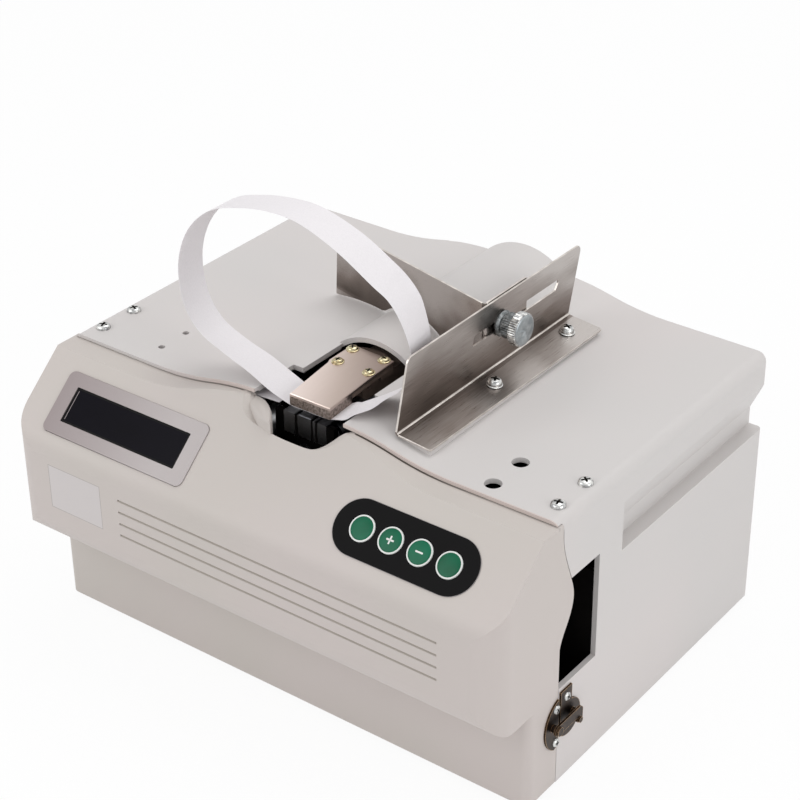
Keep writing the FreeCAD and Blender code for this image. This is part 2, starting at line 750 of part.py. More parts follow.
def make_base():
    inset = WALL + 0.4
    plate = block((-d.body_width / 2 + inset, d.seam_y + 0.6, d.foot_height),
                  (d.body_width / 2 - inset, d.body_depth / 2 - inset, d.foot_height + 2.5))
    keep(edge_rounding(plate, 4.0, lambda e: runs_along(e, Z_AXIS)), "base_plate")
    feet = []
    for x in (-142.0, 142.0):
        for y in (-56.0, 112.0):
            feet.append(cone(8.0, 9.5, d.foot_height, (x, y, 0.0)))
    keep(group(*feet), "rubber_feet")


def hinge_knuckles(z, spans):
    return [rod(KNUCKLE_RADIUS, length, (d.hinge_x, d.seam_y - 0.2, z + start))
            for start, length in spans]


def make_hinges():
    """Two butt hinges on the left wall: the cover swings out to the left."""
    fixed, moving, pins = [], [], []
    bore_radius = 1.25 + RUNNING
    for z in HINGE_HEIGHTS:
        bore = rod(bore_radius, HINGE_LENGTH + 4, (d.hinge_x, d.seam_y - 0.2, z - 2))
        leaf = block((-d.body_width / 2 - 1.3, d.seam_y + 0.2, z),
                     (-d.body_width / 2 - 0.02, d.seam_y + 18, z + HINGE_LENGTH))
        relief = block((-d.body_width / 2 - 8, d.seam_y - 4, z + 9.8),
                       (-d.body_width / 2 + 1, d.seam_y + 3.6, z + 20.2))
        knuckles = hinge_knuckles(z, ((0.0, 9.6), (20.4, 9.6)))
        fixed.append(cut(fuse(leaf, *knuckles), relief, bore))
        leaf = block((-d.body_width / 2 - 1.3, d.seam_y - 18.4, z),
                     (-d.body_width / 2 - 0.02, d.seam_y - 0.6, z + HINGE_LENGTH))
        relief_low = block((-d.body_width / 2 - 8, d.seam_y - 3.8, z - 1),
                           (-d.body_width / 2 + 1, d.seam_y + 4, z + 10.0))
        relief_high = block((-d.body_width / 2 - 8, d.seam_y - 3.8, z + 20.0),
                            (-d.body_width / 2 + 1, d.seam_y + 4, z + HINGE_LENGTH + 1))
        bore = rod(bore_radius, HINGE_LENGTH + 4, (d.hinge_x, d.seam_y - 0.2, z - 2))
        middle = hinge_knuckles(z, ((10.2, 9.6),))
        moving.append(cut(fuse(leaf, *middle), relief_low, relief_high, bore))
        pins.append(rod(1.25, HINGE_LENGTH + 1, (d.hinge_x, d.seam_y - 0.2, z - 0.5)))
    keep(group(*fixed), "hinge_fixed_leaves")
    keep(group(*moving), "hinge_cover_leaves")
    keep(group(*pins), "hinge_pins")


LATCH_X = HALF_WIDTH + 0.02
LATCH_PIVOT_Y = -81.0


def make_latch():
    """Small cabinet latch: plate and swinging arm on the cover, keeper on the housing."""
    z = float(d.latch_height)
    left, right = -88.0, SEAM - 0.8
    p = [Vector(LATCH_X, right, z - 14.6), Vector(LATCH_X, right, z + 15.5),
         Vector(LATCH_X, left + 2.4, z + 8.0), Vector(LATCH_X, left, z),
         Vector(LATCH_X, left + 2.4, z - 10.0), Vector(LATCH_X, right - 4, z - 15.5)]
    curve = Part.BSplineCurve()
    curve.interpolate([p[1], p[2], p[3], p[4], p[5]])
    edges = [line(p[0], p[1]), curve.toShape(), line(p[5], p[0])]
    plate = prism(edges, Vector(1.2, 0, 0))
    post = Part.makeCylinder(2.2, 2.4, Vector(LATCH_X + 1.1, LATCH_PIVOT_Y, z), X_AXIS)
    pivot = Part.makeCylinder(1.2, 5.6, Vector(LATCH_X + 0.1, LATCH_PIVOT_Y, z), X_AXIS)
    head = Part.makeCylinder(2.6, 1.0, Vector(HALF_WIDTH + 5.2, LATCH_PIVOT_Y, z), X_AXIS)
    plate = plate.fuse([post, pivot, head])
    for y, offset in LATCH_SCREWS[:2]:
        plate = plate.cut(screw_hole(y, z + offset))
    keep(formed(plate), "latch_plate")
    y0, x0 = LATCH_PIVOT_Y, HALF_WIDTH + 3.7
    bar = rounded_box(26.0, 6.4, 3.1, 1.3, (9.8, 0.0))
    nose = rounded_box(5.4, 9.0, 2.5, 1.3, (20.0, -2.6))
    arm = bar.fuse(nose)
    arm.Placement = Placement(Vector(x0, y0, z), Rotation(Y_AXIS, Z_AXIS, X_AXIS, "ZXY"))
    bore = Part.makeCylinder(1.2 + RUNNING, 6, Vector(x0 - 2, y0, z), X_AXIS)
    lift = Part.makeCylinder(1.7, 1.1, Vector(x0 + 1.2, y0 + 19.8, z - 5.2), X_AXIS)
    keep(formed(arm.cut(bore).fuse(lift)), "latch_lever")
    kz, ky = z - 2.0, SEAM + 0.8
    corner = Part.makeBox(1.2, 10.5, 19.0, Vector(LATCH_X, ky, kz + 1.5))
    bow = Part.makeCylinder(11.0, 1.2, Vector(LATCH_X, ky + 8.0, kz), X_AXIS)
    bow = bow.common(Part.makeBox(3, 20, 30, Vector(LATCH_X - 1, ky, kz - 15)))
    stud = Part.makeCylinder(2.2, 3.2, Vector(LATCH_X + 0.1, ky + 11.6, kz + 1.6), X_AXIS)
    keeper = corner.fuse([bow, stud]).cut(screw_hole(LATCH_SCREWS[2][0], z + LATCH_SCREWS[2][1]))
    keep(formed(keeper), "latch_keeper")


# ---------------------------------------------------------------- note guides

def deck_slope_at_guide():
    a, b = float(d.guide_x) + 2.0, float(d.guide_x) + 20.0
    return math.degrees(math.atan2(deck_z(a) - deck_z(b), b - a))


def make_side_guide():
    """Bent stainless angle: upright plate with a slot, foot that follows the deck."""
    t = float(d.guide_sheet)
    front, rear, top = float(d.guide_front_y), float(d.guide_rear_y), float(d.guide_top)
    x = float(d.guide_x)
    foot_z = deck_z(x) + 0.5
    upright, pad = padded_plate("YZ_Plane", [
        (d.guide_front_y, foot_z), (d.guide_rear_y, foot_z),
        (d.guide_rear_y + 10, d.guide_top - 4), (d.guide_rear_y + 8, d.guide_top),
        (d.guide_front_y + 14, d.guide_top), (d.guide_front_y + 8.5, d.guide_top - 4)],
        d.guide_sheet, d.guide_x - d.guide_sheet)
    rounded = soften(upright, pad, 3.0, lambda e: runs_along(e, X_AXIS) and e.BoundBox.ZMin > foot_z + 5)
    slot = upright.newObject("PartDesign::Pocket", "slot")
    half = d.slot_width / 2
    slot.Profile = polygon_sketch(upright, "YZ_Plane", [
        (d.slot_front_y, d.slot_height - half), (d.slot_rear_y, d.slot_height - half),
        (d.slot_rear_y, d.slot_height + half), (d.slot_front_y, d.slot_height + half)],
        d.guide_x + 5)
    slot.Length = 20
    upright.Tip = slot
    doc.recompute()
    soften(upright, slot, 2.6, lambda e: runs_along(e, X_AXIS)
           and abs(e.BoundBox.ZMin - float(d.slot_height)) < 3)
    plan = [(0.0, front), (11.5, front - 4.9), (17.0, front - 3.6), (20.4, front + 0.8),
            (21.5, front + 5.5), (21.5, rear + 3.2), (19.6, rear + 5.6), (0.0, rear)]
    foot = Part.Face(ring([(u, y, -t) for u, y in plan])).extrude(Vector(0, 0, t))
    for hole_x, hole_y in BRACKET_SCREWS:
        foot = foot.cut(faceted(1.9, 9, (hole_x - x + t, hole_y, -5)))
    place = Placement(Vector(x - t, 0, foot_z + t), Rotation(Y_AXIS, deck_slope_at_guide()))
    keep(fuse(upright, formed(foot, place)), "side_guide")


BACK_GUIDE_BEND_Y = 7.0
BACK_GUIDE_TURN = 13.8          # the sheet is bent past square by this


def make_back_guide():
    """Second sheet: a flange inside the side guide and a leaf across the deck."""
    t = float(d.guide_sheet)
    inside = float(d.guide_x) - t - 0.3
    top, low = float(d.guide_top) - 0.5, deck_z(68.0) + 0.8
    flange = Part.makeBox(t, 39.0, 34.0, Vector(inside - t, BACK_GUIDE_BEND_Y, top - 34.0))
    hole = Part.makeCylinder(2.1, 9, Vector(inside - 5, float(d.stud_y), float(d.slot_height)), X_AXIS)
    flange = flange.cut(hole)
    length = 129.0
    leaf = Part.makeBox(length, t, top - low, Vector(-length, 0, low))
    rake = Part.makePolygon([Vector(-length - 1, -1, top + 1), Vector(-length + 4.0, -1, top + 1),
                             Vector(-length - 1, -1, low), Vector(-length - 1, -1, top + 1)])
    leaf = leaf.cut(Part.Face(rake).extrude(Vector(0, 4, 0)))
    corners = [e for e in leaf.Edges if runs_along(e, Y_AXIS) and e.BoundBox.XMax < -length + 9]
    leaf = leaf.makeFillet(2.0, corners)
    turn = Rotation(Z_AXIS, -BACK_GUIDE_TURN)
    leaf.Placement = Placement(Vector(inside, BACK_GUIDE_BEND_Y, 0), turn)
    sweep_front, sweep_rear = BACK_GUIDE_BEND_Y - 10, REAR
    clear = under_deck(HALF_WIDTH, -0.7, sweep_front, sweep_rear, 0.0)
    tunnel = Part.makeCylinder(float(d.hump_radius) + 1.0, sweep_rear - sweep_front,
                               Vector(0, sweep_front, SHAFT_Z), Y_AXIS)
    leaf = leaf.cut(clear).cut(tunnel)
    beyond = Part.makeBox(20, 200, 200, Vector(inside, -60, 100))
    leaf = leaf.cut(beyond)
    keep(formed(flange.fuse(leaf).removeSplitter()), "back_guide")


def make_thumb_screw():
    """Knurled thumb screw through the slot, with its square nut on the flange."""
    x, y, z = d.guide_x, d.stud_y, d.slot_height
    start = x - d.guide_sheet * 2 - 4.0
    stud = rod(2.0, 14.0, (start, y, z), TO_X)
    neck = rod(5.0, 3.3, (x + 1.0, y, z), TO_X)
    collar = rod(6.5, 5.1, (x + 4.2, y, z), TO_X)
    count, outer = 40, 10.0
    tooth = 2 * math.pi / count
    points = []
    for i in range(count):
        for share, radius in ((0.0, outer - 0.45), (0.5, outer)):
            angle = (i + share) * tooth
            points.append((radius * math.cos(angle), radius * math.sin(angle)))
    knurl, pad = padded_plate("YZ_Plane", [(float(y) + u, float(z) + v) for u, v in points],
                              4.7, x + 9.2)
    cap = cone(9.4, 8.6, 0.7, (x + 13.9, y, z), TO_X)
    keep(fuse(stud, neck, collar, knurl, cap), "thumb_screw")
    washer = cut(rod(6.6, 0.7, (x + 0.15, y, z), TO_X), rod(2.1, 3.0, (x - 1, y, z), TO_X))
    keep(washer, "thumb_screw_washer")
    nut = cut(block((x - d.guide_sheet * 2 - 3.6, y - 4.5, z - 4.5),
                    (x - d.guide_sheet * 2 - 0.5, y + 4.5, z + 4.5)),
              rod(2.05, 9.0, (x - 8, y, z), TO_X))
    keep(nut, "thumb_screw_nut")


def pan_head(radius, height, at, turn=TO_Z):
    """Pan head on a short shank."""
    rim = faceted(radius, height * 0.45, sides=18)
    crown = faceted(radius, height * 0.55, (0, 0, height * 0.45), 18, radius * 0.66)
    shank = faceted(1.5, 5.2, (0, 0, -5.0))
    screw = rim.fuse([crown, shank]).removeSplitter()
    screw.Placement = Placement(Vector(*at), turn)
    return formed(screw)


ANVIL_SCREWS = [(-11.5, -18.5), (-9.5, -34.0), (10.5, -18.5), (12.0, -34.0)]


def make_screws():
    deck = [pan_head(4.2, 2.4, (x, y, DECK + 0.02)) for x, y in DECK_SCREWS]
    keep(group(*deck), "deck_screws")
    tilt = Rotation(Y_AXIS, deck_slope_at_guide())
    guide = []
    for x, y in BRACKET_SCREWS:
        along = x - float(d.guide_x) + float(d.guide_sheet)
        z = deck_z(float(d.guide_x)) + 0.5 + float(d.guide_sheet)
        z -= along * math.tan(math.radians(deck_slope_at_guide()))
        guide.append(pan_head(4.4, 3.4, (x, y, z + 0.02), tilt))
    keep(group(*guide), "side_guide_screws")
    anvil = [pan_head(2.9, 1.9, (x, y, float(d.anvil_top) + 0.02)) for x, y in ANVIL_SCREWS]
    keep(group(*anvil), "anvil_screws")
    z = float(d.latch_height)
    latch = [pan_head(2.3, 1.2, (LATCH_X + 1.22, y, z + rise), TO_X) for y, rise in LATCH_SCREWS]
    keep(group(*latch[:2]), "latch_plate_screws")
    keep(latch[2], "latch_keeper_screw")


# ---------------------------------------------------------------- strapping head

PLATE_FRONT_Y, PLATE_REAR_Y = -40.0, -38.0
CAM_WIDTH = 5.0
CAM_BASE_RADIUS = 10.0
CAM_TURN = math.radians(150)
CAM_GAP = 0.3
SLIDER_TOP = 169.5
SLIDER_BAR = 2.2
SHAFT_RADIUS = 4.0
# node: left x, right x, stroke, y of its cam
SLIDERS = {
    "left_gripper": (-14.0, -6.5, 4.0, -67.0),
    "heat_press": (-4.5, 4.5, 3.8, -60.0),
    "cutter_blade": (6.0, 7.4, 4.2, -53.0),
    "right_gripper": (9.0, 15.0, 4.0, -46.0),
}
GRIPPER_BASE_Z = 156.5


def make_anvil():
    """Tongue that the note stack rests on: hard plate, block and the arm behind it."""
    plate, pad = padded_plate("XY_Plane", [
        (-14.4, -14.4), (-14.3, -35.2), (-13.2, -37.4), (-10.6, -58.6),
        (-8.4, d.tape_front_y - 1), (18.8, d.tape_front_y - 1), (16.0, -38.0), (15.2, -15.6)],
        2.0, d.anvil_top - 2)
    soften(plate, pad, 0.6, lambda e: abs(e.BoundBox.ZMin - float(d.anvil_top)) < 0.01
           and abs(e.BoundBox.ZMax - float(d.anvil_top)) < 0.01)
    holes = [formed(faceted(1.6, 8, (x, y, float(d.anvil_top) - 5))) for x, y in ANVIL_SCREWS]
    keep(cut(plate, *holes), "anvil_plate")
    low = float(d.anvil_top) - 6.8
    plan = [(-13.6, -16.5), (-7.8, -74.8), (18.0, -74.8), (14.5, -16.5)]
    body = Part.Face(ring([(x, y, low) for x, y in plan])).extrude(Vector(0, 0, 4.8))
    bottom = [e for e in body.Edges if e.BoundBox.ZMax < low + 0.01 and e.BoundBox.YLength > 20]
    body = body.makeChamfer(2.2, bottom)
    arm = Part.makeBox(24, 46, 8.9, Vector(-12, -40, 166.0))
    riser = Part.makeBox(24, 23.5, low - 174.0 + 0.5, Vector(-12, -40, 174.0))
    boss = Part.makeCylinder(22.0, 6.0, Vector(-1.3, -31.0, 174.0))
    boss = boss.common(Part.makeBox(27, 20, 9, Vector(-13, -26, 173)))
    body = body.fuse([arm, riser, boss])
    for x, y in ANVIL_SCREWS:
        body = body.cut(faceted(1.6, 12, (x, y, low - 3)))
    keep(formed(body.removeSplitter()), "anvil_arm")


def make_head_frame():
    """Bed with two combs that guide the sliders, on the mechanism plate."""
    front = float(d.tape_front_y)
    bed = Part.makeBox(40, PLATE_FRONT_Y - front, 14, Vector(-20, front, 120))
    bed = bed.fuse(Part.makeBox(62, 4, 14, Vector(-31, PLATE_FRONT_Y - 4, 120)))
    comb = Part.makeBox(40, 3.6, 34.5, Vector(-20, front, 134))
    rear = Part.makeBox(40, 3.0, 34.5, Vector(-20, PLATE_FRONT_Y - 3.0, 134))
    bed = bed.fuse(comb).fuse(rear)
    for left, right, _, _ in SLIDERS.values():
        slot = Part.makeBox(right - left + 0.2, 50, 20, Vector(left - 0.1, front - 5, 155.5))
        bed = bed.cut(slot.common(Part.makeBox(60, 45, 60, Vector(-30, front - 5, 140))))
    bore = Part.makeCylinder(SHAFT_RADIUS + RUNNING, 60, Vector(0, front - 5, SHAFT_Z), Y_AXIS)
    keep(formed(bed.cut(bore).removeSplitter()), "head_bed")
    plates = []
    for x in (-34.0, 31.0):
        plate, _ = padded_plate("YZ_Plane", [
            (PLATE_REAR_Y, d.foot_height + 2.5), (44.0, d.foot_height + 2.5),
            (44.0, 120.0), (30.0, 160.0), (PLATE_REAR_Y, 160.0)], 3.0, x)
        windows = [block((x - 1, -26.0, z), (x + 4, 30.0, z + 28.0)) for z in (22.0, 62.0)]
        plates.append(cut(plate, *windows))
    keep(group(*plates), "head_side_plates")
    bearing = block((-31.0, -8.0, 125.0), (31.0, 6.0, 166.0))
    bore = rod(SHAFT_RADIUS + RUNNING, 20.0, (0.0, -11.0, d.shaft_height), TO_Y)
    keep(cut(bearing, bore), "rear_bearing_block")


def cam(y, stroke):
    """Flat cam: the lift grows evenly with the angle over the working turn."""
    def rim(share):
        """Point on the rim; share runs over the working turn and, below 0, the dwell."""
        radius = CAM_BASE_RADIUS + stroke * max(share, 0.0)
        angle = CAM_TURN * share
        return Vector(radius * math.sin(angle), 0, SHAFT_Z + radius * math.cos(angle))

    stops = [0, 1 / 6, 1 / 3, 1 / 2, 2 / 3, 5 / 6, 1]
    edges = [arc(rim(stops[i]), rim(stops[i + 1]), rim(stops[i + 2])) for i in (0, 2, 4)]
    dwell_end = -210.0 / 150.0 + 0.06
    edges += [line(rim(1), rim(dwell_end)), arc(rim(dwell_end), rim(dwell_end / 2), rim(0))]
    solid = prism(edges, Vector(0, CAM_WIDTH, 0))
    solid.translate(Vector(0, y - CAM_WIDTH / 2, 0))
    return solid


def make_camshaft():
    front = float(d.tape_front_y) - 0.6
    shaft = Part.makeCylinder(SHAFT_RADIUS, 35.0 - front, Vector(0, front, SHAFT_Z), Y_AXIS)
    for _, _, stroke, y in SLIDERS.values():
        shaft = shaft.fuse(cam(y, stroke))
    keep(formed(shaft), "camshaft")


def make_sliders():
    """Grippers, heat press and cutter: bars guided by the combs, each on its own cam."""
    front, rear = float(d.tape_front_y) - 0.2, PLATE_FRONT_Y - 0.6
    foot = SHAFT_Z + CAM_BASE_RADIUS + CAM_GAP
    for name, (left, right, _, y) in SLIDERS.items():
        bar = Part.makeBox(right - left, rear - front, SLIDER_BAR,
                           Vector(left, front, SLIDER_TOP - SLIDER_BAR))
        tab_height = SLIDER_TOP - GRIPPER_BASE_Z
        tabs = [Part.makeBox(right - left, 3.6, tab_height, Vector(left, front, GRIPPER_BASE_Z)),
                Part.makeBox(right - left, 2.2, tab_height, Vector(left, rear - 2.2, GRIPPER_BASE_Z))]
        reach_left, reach_right = min(left, -2.0), max(right, 2.0)
        lug = Part.makeBox(reach_right - reach_left, 4.0, 3.0, Vector(reach_left, y - 2.0, foot))
        leg = Part.makeBox(right - left, 4.0, SLIDER_TOP - foot, Vector(left, y - 2.0, foot))
        solid = bar.fuse(tabs + [lug, leg]).removeSplitter()
        if name == "heat_press":
            pad = Part.makeBox(8.0, 19.0, 0.6, Vector(-4, TAPE_MIDDLE_Y - 9.5, SLIDER_TOP - 0.3))
            solid = solid.fuse(pad).removeSplitter()
        keep(formed(solid), name)


def make_mechanism_plate():
    """Upright steel plate behind the tape path; the reel, rollers and head bolt to it."""
    top = 160.0
    edge = d.body_width / 2 - d.wall - 0.5
    plate, _ = padded_plate("XZ_Plane", [
        (-edge, d.foot_height + 2.5), (edge, d.foot_height + 2.5), (edge, 118.0), (150.0, 118.0),
        (150.0, top), (-150.0, top), (-150.0, 118.0), (-edge, 118.0)], 2.0, 38.0)
    drill(plate, "XZ_Plane", [(0.0, d.shaft_height, 6.5),
                              (d.roller_x, d.roller_height, 3.0 + RUNNING),
                              (d.roller_x + 22, d.roller_height, 2.5 + RUNNING),
                              (d.roller_x, d.roller_height - 22.5, 3.6)], 12.0, 43.0)
    keep(plate, "mechanism_plate")


def make_drive():
    plate, _ = padded_plate("XZ_Plane", [(-31.0, 118.0), (31.0, 118.0), (31.0, 160.0),
                                         (24.0, 172.0), (-24.0, 172.0), (-31.0, 160.0)],
                            4.0, -44.0)
    drill(plate, "XZ_Plane", [(0.0, d.shaft_height, 9.0)], 10.0, -38.0)
    keep(plate, "motor_bracket")
    gearbox = rod(28.0, 22.0, (0.0, 44.0, d.shaft_height), TO_Y)
    motor = rod(25.0, 50.0, (0.0, 65.0, d.shaft_height), TO_Y)
    coupling = rod(7.5, 9.0, (0.0, 35.5, d.shaft_height), TO_Y)
    keep(fuse(gearbox, motor, coupling), "gear_motor")


# ---------------------------------------------------------------- tape feed and reel

def gear(teeth, width, y, x, z, hand):
    """Spur gear of module 1 on an axis along Y; hand 0.5 puts a gap at the first angle."""
    pitch_r = teeth / 2.0
    base_r = pitch_r * math.cos(math.radians(20))
    outer_r, root_r = pitch_r + 0.85, pitch_r - 1.15

    def turned(radius):
        ratio = max(1.0, radius / base_r)
        spread = math.sqrt(ratio * ratio - 1)
        return spread - math.atan(spread)

    half = math.pi / (2 * teeth) - 0.07 / pitch_r
    outline = []
    for i in range(teeth):
        middle = 2 * math.pi * (i + hand) / teeth - math.pi / 2
        flank = [(root_r, half + turned(pitch_r))]
        for radius in (pitch_r, outer_r):
            flank.append((radius, half + turned(pitch_r) - turned(radius)))
        outline += [(r, middle - a) for r, a in flank]
        outline += [(r, middle + a) for r, a in reversed(flank)]
    points = [Vector(x + r * math.cos(a), y, z + r * math.sin(a)) for r, a in outline]
    face = Part.Face(Part.makePolygon(points + [points[0]]))
    return face.extrude(Vector(0, width, 0))


def roller_on_shaft(radius, x, z, shaft_radius, shaft_end):
    y0 = float(d.tape_front_y) - 0.5
    body = Part.makeCylinder(radius, 21.0, Vector(x, y0, z), Y_AXIS)
    shaft = Part.makeCylinder(shaft_radius, shaft_end - y0 + 1.5, Vector(x, y0 - 1.5, z), Y_AXIS)
    return body.fuse(shaft)


def make_feed():
    x, z = float(d.roller_x), float(d.roller_height)
    roller = roller_on_shaft(float(d.roller_radius), x, z, 3.0, PLATE_REAR_Y - 0.2)
    wheel = gear(30, 5.0, -50.5, x, z, 0.5)
    keep(formed(roller.fuse(wheel)), "feed_roller")
    pinch_x = x + 22
    pinch = roller_on_shaft(float(d.pinch_radius), pinch_x, z, 2.5, PLATE_REAR_Y - 0.2)
    keep(formed(pinch), "pinch_roller")
    pinion_z = z - 22.5
    pinion = gear(15, 5.0, -50.5, x, pinion_z, 7.5)
    shaft = Part.makeCylinder(1.5, 14.5, Vector(x, -51.5, pinion_z), Y_AXIS)
    keep(formed(pinion.fuse(shaft)), "feed_pinion")
    body = rod(16.0, 38.0, (d.roller_x, PLATE_REAR_Y, d.roller_height - 22.5), TO_Y)
    boss = rod(3.4, 4.0, (d.roller_x, PLATE_FRONT_Y - 1.0, d.roller_height - 22.5), TO_Y)
    bore = rod(1.5 + RUNNING, 9.0, (d.roller_x, PLATE_FRONT_Y - 2.0, d.roller_height - 22.5), TO_Y)
    keep(cut(fuse(body, boss), bore), "feed_motor")


def spoke_window(x, y, z, angle):
    """Opening between two spokes of the reel, cut through both flanges."""
    corners = []
    for radius, spread in ((25.0, 20.0), (50.0, 24.0)):
        for side in ((-1, 1) if radius < 30 else (1, -1)):
            turn = math.radians(angle + side * spread)
            corners.append(Vector(x + radius * math.cos(turn), y, z + radius * math.sin(turn)))
    return Part.Face(Part.makePolygon(corners + [corners[0]])).extrude(Vector(0, 40, 0))


def make_reel():
    """Coreless tape roll between two flanges, free to turn on a fixed spindle."""
    x, z = d.reel_x, d.reel_height
    front = float(d.tape_front_y)
    spindle = fuse(rod(4.0, 42.0, (x, PLATE_FRONT_Y - 42.0, z), TO_Y),
                   rod(9.0, 10.0, (x, PLATE_FRONT_Y - 10.0, z), TO_Y))
    keep(spindle, "reel_spindle")
    hub = rod(20.0, 24.0, (x, front - 2.0, z), TO_Y)
    near = rod(d.reel_radius, 1.5, (x, front - 2.0, z), TO_Y)
    far = rod(d.reel_radius, 1.5, (x, front + 20.5, z), TO_Y)
    bore = rod(4.0 + RUNNING, 40.0, (x, front - 10.0, z), TO_Y)
    windows = [formed(spoke_window(float(x), front - 10.0, float(z), i * 60.0)) for i in range(6)]
    keep(cut(fuse(hub, near, far), bore, *windows), "reel_flanges")
    outer = rod(d.roll_radius, d.tape_width - 0.4, (x, front + 0.2, z), TO_Y)
    inner = rod(20.05, 30.0, (x, front - 5.0, z), TO_Y)
    keep(cut(outer, inner), "tape_roll")
    nut = cut(rod(8.0, 4.0, (x, front - 6.6, z), TO_Y), rod(4.02, 6.0, (x, front - 7.5, z), TO_Y))
    keep(nut, "reel_retainer")


# Standing loop, from under the tongue round to the right, up and back on the left:
# for each station x, y, z of the near edge and of the far edge.
LOOP_STATIONS = [
    (2.0, -74.6, 174.0, 2.0, -54.6, 174.0), (15.5, -74.6, 174.3, 15.2, -54.7, 174.3),
    (21.4, -74.6, 175.8, 20.8, -54.9, 176.8), (27.7, -74.3, 177.8, 23.6, -55.0, 177.6),
    (32.4, -71.8, 181.3, 24.6, -54.0, 178.0), (38.8, -65.6, 184.2, 27.8, -49.4, 179.0),
    (43.0, -59.8, 188.3, 32.5, -44.0, 181.0), (48.7, -54.4, 193.1, 41.1, -37.1, 186.6),
    (52.6, -50.2, 203.2, 50.1, -30.8, 199.1), (52.4, -49.6, 214.2, 50.6, -30.0, 215.5),
    (52.5, -54.6, 228.8, 51.0, -36.1, 236.2), (50.6, -58.6, 240.3, 49.6, -39.4, 245.7),
    (46.4, -61.2, 248.7, 44.4, -42.2, 254.6), (39.7, -64.6, 256.0, 37.9, -45.8, 262.6),
    (21.5, -68.6, 270.7, 21.7, -48.9, 274.1), (0.0, -70.5, 280.6, -1.0, -50.6, 282.2),
    (-18.0, -72.0, 283.2, -18.6, -52.0, 283.2), (-38.6, -73.3, 280.6, -39.2, -53.3, 280.2),
    (-60.0, -73.9, 273.0, -60.4, -53.9, 272.6), (-76.0, -74.4, 257.0, -76.3, -54.4, 256.9),
    (-84.0, -74.5, 235.0, -84.6, -54.5, 235.1), (-82.0, -74.5, 212.0, -82.6, -54.5, 211.8),
    (-72.0, -74.5, 198.0, -72.4, -54.6, 197.4), (-55.2, -74.5, 190.4, -55.6, -54.6, 189.8),
    (-37.9, -74.5, 184.4, -38.0, -54.5, 184.8), (-23.2, -74.5, 177.9, -22.8, -54.6, 179.0),
    (-9.4, -74.5, 174.1, -9.4, -54.6, 174.1)]
TAPE_THICKNESS = 0.4
LOOP_STEPS = 3


def minus(a, b):
    return Vector(*[p - q for p, q in zip(a, b)])


def tape_band(stations, thickness):
    """Closed ribbon of short flats between its two edges, as one solid of plane triangles."""
    edges = eased(stations, LOOP_STEPS, closed=True)
    count = len(edges)
    sections = []
    for i, at in enumerate(edges):
        near, far = Vector(*at[:3]), Vector(*at[3:])
        along = minus(edges[(i + 1) % count][:3], edges[i - 1][:3])
        inward = along.cross(far - near).normalize() * thickness
        sections.append([near, far, far + inward, near + inward])
    faces = []
    for i, here in enumerate(sections):
        there = sections[(i + 1) % count]
        for k in range(4):
            a, b, c, e = here[k - 1], here[k], there[k], there[k - 1]
            faces += [Part.Face(Part.makePolygon([a, b, c, a])),
                      Part.Face(Part.makePolygon([a, c, e, a]))]
    return Part.makeSolid(Part.makeShell(faces))


def make_tape():
    keep(formed(tape_band(LOOP_STATIONS, TAPE_THICKNESS)), "paper_tape_loop")
    y = float(d.tape_front_y)
    nip_x = float(d.roller_x) + float(d.roller_radius) + 0.2
    reel_x, reel_z, roll = float(d.reel_x), float(d.reel_height), float(d.roll_radius)
    low = reel_z - roll - 0.4
    top_x, top_z = -17.0, 172.9
    bend, crown = 26.0, 8.0
    p = [Vector(reel_x, y, low), Vector(nip_x + bend, y, low), Vector(nip_x, y, low + bend),
         Vector(nip_x, y, top_z - 1.5 - crown), Vector(nip_x + crown, y, top_z - 1.5),
         Vector(top_x, y, top_z)]
    corner = bend * (1 - math.sqrt(0.5))
    knee = crown * (1 - math.sqrt(0.5))
    spine = Part.Wire([
        line(p[0], p[1]), arc(p[1], Vector(nip_x + corner, y, low + corner), p[2]),
        line(p[2], p[3]), arc(p[3], Vector(nip_x + knee, y, top_z - 1.5 - knee), p[4]),
        line(p[4], p[5])])
    ribbon = spine.extrude(Vector(0, float(d.tape_width), 0))
    solid = ribbon.makeOffsetShape(0.14, 0.01, fill=True)
    keep(formed(solid), "paper_tape_feed")


# ---------------------------------------------------------------- electrics

ROCKER_PIVOT_Y = REAR - 5.2


def wall_rim(x, z, width, height):
    """Flange of an inlet or switch, flush with the rear wall."""
    wide, high = width + 2 * RIM_WIDTH, height + 2 * RIM_WIDTH
    rim = Part.makeBox(wide, RIM_THICKNESS, high,
                       Vector(x - wide / 2, REAR - RIM_THICKNESS, z - high / 2))
    return rim.makeFillet(1.5, [e for e in rim.Edges if runs_along(e, Y_AXIS)])


